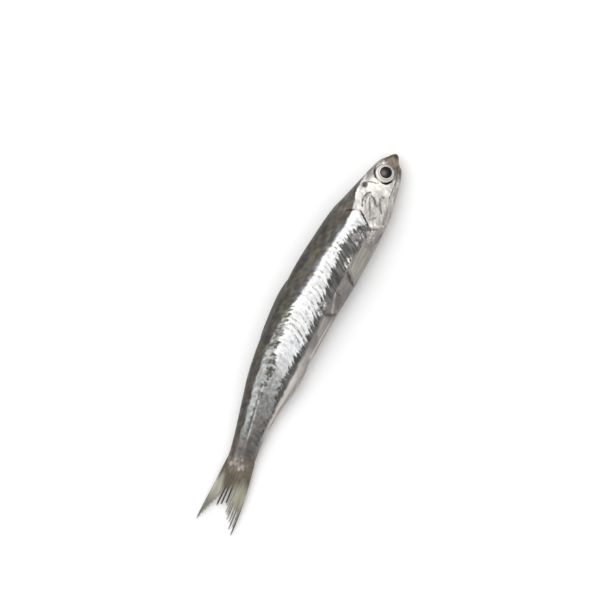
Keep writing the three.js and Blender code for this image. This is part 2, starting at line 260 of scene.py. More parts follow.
# Soft patches that are darker or lighter: change of shade, then stations and heights with their softness.
SHADE_PATCHES = (
    (-0.15, (101, 114, 2), (-4.9, -1.7, 0.5)),
    (-0.1, (14.5, 24.5, 1), (-0.3, 3.2, 0.5)),
    (0.1, (105, 114, 2), (-1.2, 1.2, 0.6)),
)

# Where along the fish some tones show: first and last station, and how softly they fade.
STRETCHES = {
    "violet": (29, 60, 4),
    "back_dash": (27, 104, 3),
    "lateral": (89.5, 110, 2.5),
    "under_line": (92, 117, 3),
    "over_line": (95, 108, 3),
    "keel_line": (80, 106, 6),
    "pale_rim": (59.5, 74.5, 2),
    "crown": (11, 26, 0.9),
    "bright top": (14.8, 24, 0.8),
    "blocks": (30, 110, 6),
}

# Noises: seed, then the size of a cell along each axis, in mm, in muscle blocks or in shares of a fin.
NOISES = {
    "coarse": (5, 3.5, 1.6, 2),
    "wander": (7, 1.3, 4),
    "block wander": (3, 3, 1.5),
    "long streaks": (21, 1 / 3.9, 2.3),
    "short streaks": (22, 1 / 8.5, 1.1),
    "fine": (35, 0.5, 0.5),
    "less fine": (36, 1.1, 0.8),
    "dash gaps": (8, 1 / 1.7, 0.6),
    "specks": (9, 0.42, 0.38),
    "pits": (10, 0.8, 0.75),
    "olive": (53, 2.8, 1.2, 1.6),
    "rust": (54, 3.1, 1.1, 1.5),
    "back dashes": (56, 1 / 1.7, 1.2, 1),
    "fibre": (41, 4, 0.4, 0.8),
    "flakes": (11, 0.55, 0.4),
    "large flakes": (57, 1.3, 0.8),
    "ragged along": (12, 0.5, 0.5),
    "ragged up": (13, 0.5, 0.5),
    "pressure": (62, 0.8, 0.8),
    "crease": (33, 0.6, 1.5, 1.4),
    "to the eye": (31, 2.1, 0.6, 1.2),
    "fine to the eye": (58, 0.9, 0.32, 0.8),
    "crown": (32, 2.4, 0.5, 0.6),
    "back": (51, 2.4, 1.2, 1.4),
    "back blocks": (34, 1 / 2.2, 1.1, 0.8),
    "speckles": (14, 1 / 2.4, 0.6),
    "belly": (55, 1.8, 0.45, 0.8),
    "sheen tint": (24, 1 / 2.1, 1.2),
    "silver tint": (26, 6, 1.8),
    "back tint": (25, 4, 2.2, 2),
    "iris": (64, 0.8, 0.8),
    "fin patches": (61, 3, 1 / 16),
    "fin streaks": (63, 2.2, 1 / 18),
}

# How much the mottling shades the skin, and how many times the brightest shade is as bright as the darkest.
MOTTLE_SHARE = 0.22
SHADE_RANGE = 6

# Camera and light, as the photograph was taken. The light's distance and size are in metres.
VIEW_AZIMUTH = -63.4
VIEW_ELEVATION = 89.5
VIEW_DISTANCE = 1200
VIEW_TARGET = (11.48, 3.8, 5.5)
LENS = 214
LIGHT_DIRECTION = (0.3, 0.75, 1.0)
LIGHT_DISTANCE = 0.9
LIGHT_SIZE = 1.1
LIGHT_POWER = 5.6
SKY_STRENGTH = 0.8
FLOOR_LEVEL = -0.05


def scatter(key):
    """Repeatable scatter between 0 and 1."""
    wave = np.sin(np.asarray(key) * 12.9898 + 4.1) * 43758.5453
    return wave - np.floor(wave)


def noise(name, *axes):
    """Smooth noise between 0 and 1, with a place along each of its axes."""
    seed, *sizes = NOISES[name]
    places = [axis / size for axis, size in zip(axes, sizes, strict=True)]
    cells = [np.floor(place) for place in places]
    inside = [ease(place - cell, 0, 1) for place, cell in zip(places, cells)]
    total = 0
    for corner in itertools.product((0, 1), repeat=len(axes)):
        weight = 1
        key = seed * 7.31
        for cell, part, step, prime in zip(cells, inside, corner, (1.0, 57.7, 113.3)):
            weight = weight * (part if step else 1 - part)
            key = key + (cell + step) * prime
        total = total + weight * scatter(key)
    return total


def end_rounding(station):
    from_snout = np.maximum(1 - station / SNOUT_ROUNDING, 0)
    from_tail = np.maximum((station - (TRUNK_END - TAIL_ROUNDING)) / TAIL_ROUNDING, 0)
    return np.sqrt(np.maximum(1 - from_snout**2, 0)) * np.sqrt(np.maximum(1 - from_tail**2, 0))


def side_height(station, share):
    """Height on the fish's side at a share of the way from the belly to the back."""
    belly = belly_line(station)
    back = back_line(station)
    return (belly + back) / 2 + (share - 0.5) * (back - belly) * end_rounding(station)


FULL_SHARE = BELLY_FULLNESS / (BELLY_FULLNESS + BACK_FULLNESS)
FULLEST = FULL_SHARE**BELLY_FULLNESS * (1 - FULL_SHARE) ** BACK_FULLNESS


def section_profile(share):
    """Thickness of a section at that share, against its greatest."""
    inside = np.clip(share, 0, 1)
    return inside**BELLY_FULLNESS * (1 - inside) ** BACK_FULLNESS / FULLEST


def head_relief(station, height):
    """How far the gill covers and the jaws stand out of the smooth side."""
    behind = station - gill_edge(height)
    cover = np.where(behind > 0, 1 - ease(behind, 0, 0.45), ease(behind, -GILL_SLOPE, 0))
    slit = bell(behind - GILL_SLIT_WIDTH / 2, GILL_SLIT_WIDTH / 2)
    under = (1 - ease(height, GILL_TOP - 1.2, GILL_TOP + 1.2)) * (1 - 0.6 * bell(height - 0.4, 1))
    below_mouth = mouth_line(station) - height
    along_mouth = ease(station, 2.6, 3.4) * (1 - ease(station, MOUTH_END - 4, MOUTH_END))
    mouth = (
        UPPER_JAW_RISE * bell(below_mouth + 1.3, UPPER_JAW_WIDTH)
        - MOUTH_GROOVE * bell(below_mouth, MOUTH_GROOVE_WIDTH)
        - JAW_INSET * ease(below_mouth, 0, 0.6)
    )
    return under * (GILL_RISE * cover - GILL_SLIT_DEPTH * slit) + along_mouth * mouth


def stroke(station, height, points, half_width, soft):
    """1 on a line drawn through the points on the flank, 0 away from it. More than two points taper it."""
    points = np.array(points, float)
    nearest = np.full(np.shape(station), 1e9)
    along = np.full(np.shape(station), 0.5)
    for i, ((s0, h0), (s1, h1)) in enumerate(zip(points[:-1], points[1:])):
        ds = s1 - s0
        dh = h1 - h0
        t = np.clip(((station - s0) * ds + (height - h0) * dh) / (ds * ds + dh * dh), 0, 1)
        away = np.hypot(station - s0 - t * ds, height - h0 - t * dh)
        if len(points) > 2:
            along = np.where(away < nearest, (i + t) / (len(points) - 1), along)
        nearest = np.minimum(nearest, away)
    reach = half_width * (0.4 + 0.6 * np.sin(np.pi * along))
    return 1 - ease(nearest, np.maximum(reach - soft, 0), reach + soft)


# Lines and spots of the head and flank: (layer, strength, half width, softness, relief, points). Some of them
# are painted shadows, shade and highlights.
MARKS = {
    # Painted shade in the gill opening, where the skin also sinks in.
    "shade in the gill opening": ("dark", 1.0, 0.36, 0.16, -0.12, ((22.6, -0.7), (24.3, -3.2), (26, -5.6))),
    "shoulder streak": ("dark", 0.4, 0.2, 0.35, -0.03, ((28.4, -0.4), (27.9, -2.2), (28.1, -3.9))),
    "shoulder streak front": ("dark", 0.34, 0.2, 0.35, -0.03, ((26.6, -1.2), (26.5, -3.2), (27.1, -5))),
    "gill notch": ("dark", 0.85, 0.26, 0.25, -0.05, ((25.3, 3.75), (24.4, 2.6), (23.6, 1.35))),
    "head top line": (
        "dark", 0.7, 0.2, 0.25, -0.04, ((21, 1.95), (19, 3.3), (17.1, 3.9), (14.7, 4.2), (12.7, 4)),
    ),
    "temple line": ("dark", 0.6, 0.16, 0.2, -0.04, ((16.6, 2.3), (15.2, 2.2))),
    "temple spot": ("dark", 0.95, 1.0, 0.45, -0.06, ((14.05, 1.62), (14.2, 1.7))),
    "spot tail": ("dark", 0.85, 0.22, 0.24, -0.06, ((13, 1.8), (12.6, 0.6), (12.2, -0.7), (11.7, -2.4))),
    "upper arc": (
        "dark", 0.86, 0.4, 0.34, -0.08, ((21, -0.8), (19.7, -0.1), (17.8, 0), (16.4, -0.5), (15.6, -1.3)),
    ),
    "second arc": ("dark", 0.65, 0.24, 0.3, -0.05, ((20.3, -1.7), (19, -0.85), (17.5, -0.8), (16.8, -1.2))),
    "cover ridge": ("dark", 0.8, 0.32, 0.32, -0.07, ((23.1, -4.7), (21.4, -3.7), (19.5, -2.8), (17.6, -1.8))),
    "inner arc": ("dark", 0.8, 0.32, 0.34, -0.06, ((16.6, -2.1), (17.1, -3.2), (18.1, -4.2), (19, -5.2))),
    "low ridge": (
        "dark", 0.82, 0.34, 0.34, -0.07, ((20.5, -7.8), (19, -6.6), (17.6, -5.7), (16.1, -5.2), (15.2, -5.4)),
    ),
    "low ridge end": ("dark", 0.7, 0.34, 0.3, -0.03, ((16.4, -5.9), (15.5, -5.9))),
    # Painted shade in a hollow of the gill cover, where the skin also sinks in.
    "shade in the hollow of the cover": ("dark", 0.65, 0.42, 0.35, -0.05, ((23.9, -5.2), (22.7, -6.4))),
    "lip": ("dark", 0.8, 0.2, 0.2, 0, ((14.7, -7.8), (12.7, -7.6), (10.3, -7.5), (8.4, -7.2), (6.7, -6.6))),
    "gape": ("brown", 0.88, 0.4, 0.35, 0, ((7.6, -6.9), (5.6, -6.3), (4.1, -5.7), (3, -5.7))),
    "lower lip": ("brown", 0.55, 0.5, 0.5, 0, ((8, -7.5), (5.6, -7), (4.2, -6.5))),
    # A painted shadow below the eye.
    "shadow below the eye": ("brown", 0.8, 0.26, 0.32, 0, ((9.4, -6.1), (7.9, -6.4), (6, -5.8), (4.6, -4.4))),
    # Painted shadows in the gap round the eye, at its rear and over its top.
    "shadow at the back of the orbit": ("dark", 1.0, 0.42, 0.18, 0, ((11, -3.4), (10.9, -4.2), (10.3, -5.2), (9.5, -6))),
    "shadow over the eye": ("dark", 0.95, 0.42, 0.28, 0, ((7, 1.2), (8.5, 0.95), (9.6, 0.45), (10.35, -0.5))),
    "snout stroke": ("dark", 0.55, 0.14, 0.18, -0.04, ((4.3, -1.8), (3.95, -2.8), (4.05, -3.5))),
    "snout ridge": ("brown", 0.8, 0.75, 0.7, 0, ((9.8, 2.9), (7.6, 2), (5.2, 1), (3.4, -0.1), (1.2, -1.8))),
    "nostril": ("dark", 0.7, 0.26, 0.2, -0.12, ((3.75, -1.0), (3.4, -1.2))),
    # The throat's rim with a painted shadow along it.
    "throat rim and its shadow": ("dark", 0.6, 0.18, 0.22, -0.05, ((30.2, -10.4), (28, -10.7), (25.8, -10.9))),
    "cover rim": ("pale", 0.9, 0.34, 0.3, 0.05, ((24.6, -5.8), (25.3, -5.9), (26, -7.1))),
    "cover streak": ("pale", 0.6, 0.3, 0.35, 0.04, ((25.4, -6.6), (24.8, -8), (23.9, -10))),
    "top of the cover": ("pale", 0.9, 0.34, 0.25, 0.05, ((20.2, 2), (18.6, 2.7), (16.6, 3), (15, 2.8))),
    "spot crescent": ("pale", 0.75, 0.22, 0.25, 0, ((14.7, 2.9), (13.4, 2.75), (12.85, 2))),
    # A painted highlight by the eye.
    "highlight by the eye": ("pale", 0.2, 0.25, 0.35, 0, ((11.5, 0.5), (10.6, 1.5), (9.4, 2.1))),
    "cheek ridge": ("pale", 0.5, 0.2, 0.25, 0.03, ((21.9, -1.9), (19.5, -0.4))),
    "low cheek ridge": ("pale", 0.5, 0.2, 0.25, 0.03, ((20.7, -5.1), (18.7, -3.4))),
    # A painted highlight along the jaw, on a low ridge.
    "highlight along the jaw": ("pale", 0.4, 0.2, 0.3, 0.03, ((16, -9.2), (12, -8.8), (8.6, -8))),
    # Painted glow of light through the translucent snout.
    "snout glow": ("amber", 0.55, 0.5, 0.6, 0, ((1.7, -2.9), (2.5, -3.7))),
    "snout glow low": ("amber", 0.4, 0.2, 0.4, 0, ((2.6, -5.2), (4, -4.6))),
    "fin base": ("dark", 0.7, 0.18, 0.25, -0.08, ((33.4, -6.4), (33.7, -8.2), (34.2, -9.8))),
    "shoulder shadow": ("dark", 0.75, 0.4, 0.4, -0.05, ((32.2, -3.5), (31.9, -4.6), (32.3, -5.6))),
    "shoulder shadow rear": ("dark", 0.45, 0.45, 0.5, -0.04, ((28.6, -2.9), (28.3, -4.4))),
    # Painted shadow in the fold before the pelvic fin.
    "shadow in the fold at the hip": ("brown", 0.9, 0.4, 0.6, -0.1, ((59.1, -5.9), (58.6, -7.4), (57.6, -9))),
    # Painted shadow under the lifted tip of the pectoral fin, darkest in its middle.
    "shadow under the fin tip": ("brown", 0.95, 0.7, 0.6, -0.05, ((43.2, -6.4), (44.7, -8), (46.2, -10))),
    "deepest shadow under the fin tip": ("dark", 0.7, 0.3, 0.3, -0.1, ((43.7, -7.2), (44.6, -8.2), (45.7, -9.6))),
    "flank fold": ("brown", 0.6, 0.2, 0.3, -0.05, ((50.9, -5.6), (51.3, -7.7))),
    "belly smudge": ("brown", 0.5, 0.8, 0.8, 0, ((51.6, -7.2), (53.6, -8.2), (55.4, -8.8))),
    "belly crease": ("pale", 0.4, 0.16, 0.3, 0.03, ((57.8, -7.9), (54.5, -6.8), (51.2, -5.8))),
    "vent line": ("dark", 0.5, 0.14, 0.2, -0.04, ((72.4, -7.9), (76, -7.9), (80, -8.0))),
}


# Stations 0.1 mm apart from before the snout, and the muscle blocks counted up to each.
LADDER = np.linspace(-12, 130, 1421)
BLOCKS_UP_TO = np.concatenate([[0], np.cumsum(np.diff(LADDER) / block_spacing(LADDER[:-1]))])


def side_share(station, share):
    return lerp(belly_line(station), back_line(station), share)


def block_lines(station, height):
    """Muscle blocks counted from the snout, place inside a block and about how many mm its line is away."""
    rise = height - side_share(station, BLOCK_APEX)
    back_by = rise**2 / (2 * np.where(rise < 0, BLOCK_CURVE_BELOW, BLOCK_CURVE_ABOVE))
    back_by = BLOCK_REACH * (1 - np.exp(-back_by / BLOCK_REACH))
    wander = BLOCK_WANDER * noise("block wander", station, height)
    count = np.interp(station - back_by + wander, LADDER, BLOCKS_UP_TO)
    inside = count - np.floor(count)
    return count, inside, np.minimum(inside, 1 - inside) * 2


def loose_scale_glints(station, height):
    """Painted glints on the rims of small loose scales, laid like roof tiles."""
    row = np.floor(height / SCALE_HEIGHT)
    across = station / SCALE_LENGTH + 0.5 * (row % 2) + 0.3 * scatter(row)
    column = np.floor(across)
    key = row * 17 + column
    u = (across - column - 0.5) * SCALE_LENGTH + 0.3 * (scatter(key) - 0.5)
    v = height - (row + 0.5) * SCALE_HEIGHT + 0.3 * (scatter(key + 3) - 0.5)
    radius = 0.4 + 0.35 * scatter(key + 5)
    rim = bell(np.hypot(u, v) - radius, 0.15) * ease(u + v, -0.3, 0.3)
    return rim * ease(scatter(key + 9), 0.25, 0.6)


def near_patches(station, height, patches, fade):
    """1 in the middle of each patch, fading out over so many of its half sizes."""
    near = 0
    for middle, middle_height, half_length, half_height in patches:
        away = np.hypot((station - middle) / half_length, (height - middle_height) / half_height)
        near = np.maximum(near, bell(away, fade))
    return near


def stretch(name, station):
    return box(station, *STRETCHES[name])


def skin_texture(station, height, out):
    """The muscle blocks and the noises that several tones share."""
    at = SimpleNamespace()
    at.count, inside, at.from_line = block_lines(station, height)
    at.block = np.floor(at.count)
    at.tooth = BLOCK_TOOTH * (inside - 0.5) * (0.5 + 0.8 * scatter(at.block))
    at.coarse = noise("coarse", station, height, out)
    at.wander = 0.5 * (noise("wander", station, height) - 0.5)
    at.fibre = noise("fibre", station, height, out)
    at.fine = 0.5 * noise("fine", station, height) + 0.5 * noise("less fine", station, height)
    streak = 0.6 * noise("long streaks", at.count, height) + 0.4 * noise("short streaks", at.count, height)
    at.streak = ease(lerp(streak, at.fine, 0.75 * ease(station, *STREAKS_TURN_FINE)), 0.18, 0.82)
    return at


def band_tones(station, height, out, at):
    """Share of the bands along the flank, from the back down, and of the pigment of the back."""
    over_back = height - back_edge(station) + at.wander + (at.streak - 0.5) * back_raggedness(station)
    over_sheen = height - sheen_low(station) + 0.7 * (at.streak - 0.5)
    over_speckle = height - speckle_low(station) + 1.2 * (0.5 - at.streak) + at.wander
    over_silver = height - silver_low(station) + at.tooth + 1.5 * (at.streak - 0.5)
    over_belly = height - lower_low(station) + 1.2 * at.wander + 0.5 * (at.streak - 0.5)
    back = ease(over_back, -back_blur(station), back_blur(station))
    belly = 1 - ease(over_belly, -0.5, 0.45)
    # Painted shade of the ridges between the blocks breaks the silver into dashes.
    dashes = LEAST_DASH
    for strength, stations, heights in DASHES:
        dashes = np.maximum(dashes, strength * box(station, *stations, 1.5) * box(height, *heights, 0.6))
    dashes = dashes * bell(at.from_line, 0.32) * ease(noise("dash gaps", at.block, height), 0.4, 0.62)
    # The dark band under the silver: partly the flank's own darker tone, partly a painted reflection of
    # darker surroundings.
    lower = lower_strength(station) * (1 - ease(over_silver, -0.5, 0.3))
    back_dash = bell(at.from_line, 0.4) * box(over_back, 0.1, 1.8, 0.5)
    back_dash = back_dash * ease(noise("back dashes", at.block, height, out), 0.4, 0.65)
    return {
        "back": back,
        "olive": 0.5 * back * ease(noise("olive", station, height, out), 0.5, 0.75),
        "rust": 0.55 * back * ease(noise("rust", station, height, out), 0.52, 0.78),
        "back_dash": 0.8 * back_dash * stretch("back_dash", station),
        "violet": 0.7 * bell(over_back - 0.45, 0.75) * stretch("violet", station),
        "sheen": ease(over_sheen, -0.3, 0.35) * sheen_strength(station),
        "speckle": ease(over_speckle, -0.4, 0.5) * speckle_strength(station),
        # The silver band: the fish's own silver, its brightness partly a painted reflection of the softbox.
        "silver": ease(over_silver, -0.35, 0.45) * silver_strength(station) * (1 - dashes),
        "lower": lower * (0.6 + 0.4 * at.coarse) * (1 - 0.4 * belly),
        "belly": belly,
    }


def line_tones(station, height):
    """Share of the lines along the flank and of the belly's rims."""
    under = lateral_line(station) - height
    over_belly = height - lower_low(station)
    over_rim = height - belly_line(station)
    return {
        "lateral": bell(under, 0.24) * stretch("lateral", station),
        "under_line": box(under, 0.35, 1.9, 0.35) * stretch("under_line", station),
        "over_line": 0.8 * bell(under + 0.68, 0.22) * stretch("over_line", station),
        "keel_line": 0.6 * bell(over_belly + 0.9, 0.8) * stretch("keel_line", station),
        "pale_rim": 0.8 * bell(over_rim - 0.75, 0.28) * stretch("pale_rim", station),
    }


def scale_tones(station, height, at):
    """Share of the loose scales on the flank, of the painted glints on their rims and of the painted shade
    between them.
    """
    near = near_patches(station, height, SCALE_PATCHES, 1)
    glint = np.maximum(ease(noise("specks", station, height), 0.7, 0.85), loose_scale_glints(station, height))
    return {
        "scaly": 0.6 * ease(near, 0.2, 0.8),
        "pits": 0.7 * ease(near, 0.2, 0.75) * ease(noise("pits", station, height), 0.55, 0.75),
        "sparkle": glint * ease(near, 0.2, 0.75) * (0.35 + 0.65 * at.coarse),
    }


def tail_tones(station, height, at):
    """Share of the brown skin that runs into the tail fin and of the pale scales on it."""
    flake = 0.55 * noise("flakes", station, height) + 0.45 * noise("large flakes", station, height)
    haze = 0.7 * bell(station - 117, 2.4) * bell(height + 2.2, 2.8) * flake
    near = near_patches(station, height, ROOT_SCALES, 1.6)
    return {
        "tail_skin": 0.85 * ease(station, 103, 115) * ease(0.5 * at.fibre + 0.5 * at.coarse, 0.2, 0.6),
        "root": ease(station + 1.2 * (at.fibre - 0.5), 118.2, 119.6),
        "root_scales": np.maximum(haze, 0.9 * ease(near * (0.5 + flake), 0.3, 0.95)),
    }


def head_crease(station, height, out):
    return noise("crease", station + 0.15 * height, height, out)


def head_tones(station, height, out):
    """Share of each tone of the head."""
    behind = station - gill_edge(height)
    blur = lerp(0.2, 1.3, ease(height, -1.4, 0.2))
    on_head = (1 - ease(behind, 0.1 - blur, 0.1 + blur)) * (1 - ease(height, GILL_TOP - 1.2, GILL_TOP + 0.2))
    on_head = np.maximum(on_head, 1 - ease(station, 19.5, 21.5))
    crease = head_crease(station, height, out)
    cheek = bell(station - 13.1, 3.1) * bell(height + 3.4, 4.6) + 0.3 * (crease - 0.5)
    bright_top = stretch("bright top", station) * box(height, -0.3, 3.1, 0.5)
    return {
        "head": on_head,
        "cheek": on_head * np.clip(ease(cheek, 0.2, 0.7) + bright_top * (0.8 * crease - 0.25), 0, 1),
        "jaw": on_head * ease(jaw_low(station) - height, -0.3, 0.6),
        "crown": ease(height - back_edge(station), -0.3, 0.3) * stretch("crown", station),
        "snout": 1 - ease(station + 0.3 * (height + 3) - 0.8 * (crease - 0.5), 3.7, 6.5),
        "snout_tip": 1 - ease(station - 0.3 * (height + 3.4), 0.9, 2.5),
    }


def add_marks(station, height, tone):
    """Draws the marks into their tones, and gives the relief that they leave in mm."""
    ragged_station = station + 0.3 * (noise("ragged along", station, height) - 0.5)
    ragged_height = height + 0.3 * (noise("ragged up", station, height) - 0.5)
    pressure = 0.55 + 0.6 * ease(noise("pressure", station, height), 0.2, 0.7)
    relief = np.zeros(np.shape(station))
    for layer, strength, half_width, soft, rise, points in MARKS.values():
        drawn = stroke(ragged_station, ragged_height, points, half_width, soft)
        drawn = drawn * lerp(pressure, 1, strength**4)
        tone[layer] = np.clip(np.maximum(tone.get(layer, 0), strength * drawn), 0, 1)
        relief += rise * drawn
    return relief


def skin_grain(station, height, out, at, tone):
    """Fine streaks: along the blocks on the trunk, slanting up to the eye on the gill cover."""
    slant = (height * 0.5 - station * 0.87, station * 0.5 + height * 0.87, out)
    towards_eye = 0.6 * noise("to the eye", *slant) + 0.4 * noise("fine to the eye", *slant)
    cheek = lerp(towards_eye, head_crease(station, height, out), tone["cheek"])
    back = 0.4 * noise("back", station, height, out) + 0.25 * noise("crown", station, height, out)
    back = back + 0.35 * noise("back blocks", at.count, height, out)
    speckles = 0.5 * at.streak + 0.5 * noise("speckles", at.count, height)
    grain = at.streak
    for texture, share in (
        (at.fine, 0.45 * tone["silver"]),
        (ease(speckles, 0.25, 0.75), tone["speckle"]),
        (at.fine, 0.7 * tone["sheen"]),
        (ease(back, 0.2, 0.8), tone["back"]),
        (noise("belly", station, height, out), tone["belly"]),
        (at.fibre, tone["root"]),
        (cheek, tone["head"]),
    ):
        grain = lerp(grain, texture, share)
    return grain


def add_shade(station, height, out, at, tone):
    """Adds how bright each point is against its colour, and how cool, where 0.5 leaves both as they are."""
    contrast = lower_grain(station)
    for name, value in GRAIN:
        contrast = lerp(contrast, value, tone[name])
    off_head = 1 - tone["head"]
    shade = 0.5 + contrast * (skin_grain(station, height, out, at, tone) - 0.5)
    shade += tone["belly"] * (belly_shade(station) - 0.5 + 0.25 * (at.coarse - 0.5)) * off_head
    shade += 0.12 * tone["scaly"] - 0.5 * bell(station - 10.4, 2.3) * bell(height - 1.9, 1.3)
    for change, stations, heights in SHADE_PATCHES:
        shade += change * box(station, *stations) * box(height, *heights)
    cool = 0.5 + 0.35 * tone["sheen"] * (noise("sheen tint", at.count, height) - 0.5)
    cool += 0.06 * tone["silver"] * ease(noise("silver tint", station, height), 0.5, 0.8) * off_head
    cool += 0.4 * tone["back"] * (noise("back tint", station, height, out) - 0.75)
    cool -= 0.14 * tone["belly"] * ease(at.coarse, 0.4, 0.8)
    tone["shade"] = np.clip(shade, 0, 1)
    tone["cool"] = np.clip(cool, 0, 1)


def skin_tones(station, height, out):
    """Share of each tone at every point of the skin, and the relief of its marks and blocks in mm."""
    at = skin_texture(station, height, out)
    tone = band_tones(station, height, out, at)
    tone.update(line_tones(station, height))
    tone.update(scale_tones(station, height, at))
    tone.update(tail_tones(station, height, at))
    tone.update(head_tones(station, height, out))
    relief = add_marks(station, height, tone)
    relief -= BLOCK_RELIEF * bell(at.from_line, 0.42) * stretch("blocks", station) * (1 - tone["head"])
    add_shade(station, height, out, at, tone)
    return tone, relief


def orbit_relief(station, height):
    """Bowl for the eye, deep under the eye's rear and over its top, and the low rim round it."""
    u = station - EYE_STATION
    v = height - EYE_HEIGHT
    away = np.hypot(u, v)
    across = np.maximum(away, 0.01)
    rear_low = ease((0.8 * u - 0.6 * v) / across, 0.74, 0.95)
    top = ease((0.5 * u + 0.87 * v) / across, 0.78, 0.97)
    front = ease(-u / across, 0.1, 0.9)
    rim = 3.35 + 0.35 * rear_low - 0.42 * front
    depth = 0.65 + 1.5 * np.maximum(rear_low, 0.8 * top)
    bowl = -depth * (1 - ease(away, rim - 0.22, rim + 0.2))
    return bowl + 0.1 * bell(away - rim - 0.55, 0.4)


def half_at(station, share, side):
    """Distance from the middle plane to the smooth flank. The side is 1 on the right and -1 on the left."""
    return half_thickness(station) * section_profile(share) * np.where(side > 0, 1, UNDERSIDE_SQUASH)


def skin_points(station, turn):
    """Points of the skin round each section, and its tones. A turn of 0 is the back, and of pi the belly."""
    share = (1 + np.cos(turn)) / 2
    side = np.where(np.sin(turn) >= 0, 1.0, -1.0)
    height = side_height(station, share)
    rounding = end_rounding(station)
    half = half_at(station, share, side) * rounding
    half *= 1 - TAIL_THINNING * ease(station, *TAIL_THIN_STATIONS)
    tones, marks = skin_tones(station, height, side * half)
    relief = head_relief(station, height) + marks + orbit_relief(station, height)
    level = mid_plane(station) + side * (half + relief * section_profile(share) * rounding)
    return to_frame(np.stack([station, height, np.maximum(level, 0)], axis=-1)), tones


def even_turns(station, upper, lower):
    """Turns that space the points of each section evenly along its outline."""
    fine = np.linspace(0, np.pi, 401)
    share = (1 + np.cos(fine)) / 2
    turns = []
    for at in station:
        height = side_height(at, share)
        half = half_at(at, share, 1) * end_rounding(at)
        length = np.concatenate([[0], np.cumsum(np.hypot(np.diff(height), np.diff(half)))])
        length /= length[-1]
        top = np.interp(np.linspace(0, 1, upper, endpoint=False), length, fine)
        under = 2 * np.pi - np.interp(np.linspace(1, 0, lower, endpoint=False), length, fine)
        turns.append(np.concatenate([top, under]))
    return np.array(turns)


def to_frame(points):
    """Turns station, height and level into the row frame, in mm."""
    points = np.array(points, float)
    points[..., 0] = TOTAL_LENGTH / 2 - points[..., 0]
    return points


def new_piece(name, points, faces, tones, material, corner_uv=None):
    """Makes a mesh piece from points in mm, with its tones as point attributes."""
    mesh = bpy.data.meshes.new(name)
    mesh.from_pydata((np.asarray(points) * MM).tolist(), [], [list(map(int, face)) for face in faces])
    for tone, values in tones.items():
        attribute = mesh.attributes.new(tone, "FLOAT", "POINT")
        attribute.data.foreach_set("value", np.asarray(values, np.float32).ravel())
    if corner_uv is not None:
        layer = mesh.uv_layers.new(name="OFBake")
        layer.data.foreach_set("uv", np.asarray(corner_uv, np.float32).ravel())
    mesh.polygons.foreach_set("use_smooth", [True] * len(mesh.polygons))
    mesh.materials.append(material)
    mesh.update()
    piece = bpy.data.objects.new(name, mesh)
    bpy.context.scene.collection.objects.link(piece)
    return piece


def place(piece, slot, *nodes):
    """Ties a piece to the body it rides on, and hides the solids it stands for. Its finish, the slot, is not
    used.
    """
    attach(piece, BODY)
    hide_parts(*nodes)


def face_corners(grid):
    """The four corners of every face between neighbouring rows and columns of a grid."""
    corners = (grid[:-1, :-1], grid[1:, :-1], grid[1:, 1:], grid[:-1, 1:])
    return np.stack(corners, axis=2).reshape(-1, 4, *grid.shape[2:])


def flipped(faces):
    return [face[::-1] for face in faces]


def loft(rings):
    """Points, faces and face-corner UVs of a closed skin over rings of points, with a point at each end."""
    count, sides = rings.shape[:2]
    index = np.arange(count * sides).reshape(count, sides)
    index = np.concatenate([index, index[:, :1]], axis=1)
    along = np.linspace(0.01, 0.99, count)
    around = np.linspace(0, 1, sides + 1)
    faces = face_corners(index).tolist()
    uv = face_corners(np.stack(np.meshgrid(along, around, indexing="ij"), axis=-1)).reshape(-1, 2).tolist()
    first = count * sides
    last = first + 1
    for k in range(sides):
        faces.append([first, index[0, k], index[0, k + 1]])
        uv += [[0, around[k]], [along[0], around[k]], [along[0], around[k + 1]]]
        faces.append([last, index[-1, k + 1], index[-1, k]])
        uv += [[1, around[k]], [along[-1], around[k + 1]], [along[-1], around[k]]]
    points = np.concatenate([rings.reshape(-1, 3), rings[0].mean(0)[None], rings[-1].mean(0)[None]])
    return points, faces, uv


def loft_values(values, sides):
    """Carries values of a loft, one a ring or one a point, to every point and to the one at each end."""
    values = np.broadcast_to(values.reshape(len(values), -1), (len(values), sides))
    return np.concatenate([values.ravel(), [values[0].mean(), values[-1].mean()]])


def hex_linear(colour):
    """Linear colour, with alpha, of an sRGB hex value."""
    parts = [int(colour[i : i + 2], 16) / 255 for i in (1, 3, 5)]
    return tuple(c / 12.92 if c <= 0.04045 else ((c + 0.055) / 1.055) ** 2.4 for c in parts) + (1.0,)


def add_node(tree, kind, inputs=None, output=0, **settings):
    """Adds a node with its settings, gives each input its value or its link, and returns an output."""
    node = tree.nodes.new("ShaderNode" + kind)
    for name, value in settings.items():
        setattr(node, name, value)
    for key, value in (inputs or {}).items():
        if isinstance(value, bpy.types.NodeSocket):
            tree.links.new(value, node.inputs[key])
        else:
            node.inputs[key].default_value = value
    return node.outputs[output] if node.outputs else None


def new_material(name):
    """Makes an empty material, and the function that adds a node to it."""
    material = bpy.data.materials.new(name)
    material.use_nodes = True
    material.node_tree.nodes.clear()
    return material, functools.partial(add_node, material.node_tree)


def size_property(name, description, size, least, most):
    """Length that a user can set, given here in mm."""
    return FloatProperty(
        name=name, description=description, default=size * MM, min=least * MM, max=most * MM, unit="LENGTH",
        precision=5,
    )


def colour_property(name, description, colour):
    return FloatVectorProperty(
        name=name, description=description, subtype="COLOR", size=4, min=0, max=1, default=hex_linear(colour)
    )


class FishSizes(PropertyGroup):
    """Sizes that a user would change."""

    skin_step: size_property("Skin step", "Length of the skin's faces on the trunk", 0.278, 0.2, 2)
    pupil_radius: size_property("Pupil radius", "Radius of the pupil", 2.1, 0.5, 3)
    ray_radius: size_property("Ray radius", "Radius of a tail fin ray at its root", 0.2, 0.1, 0.6)
    floor_size: size_property("Floor size", "Side of the floor", 3000, 500, 10000)


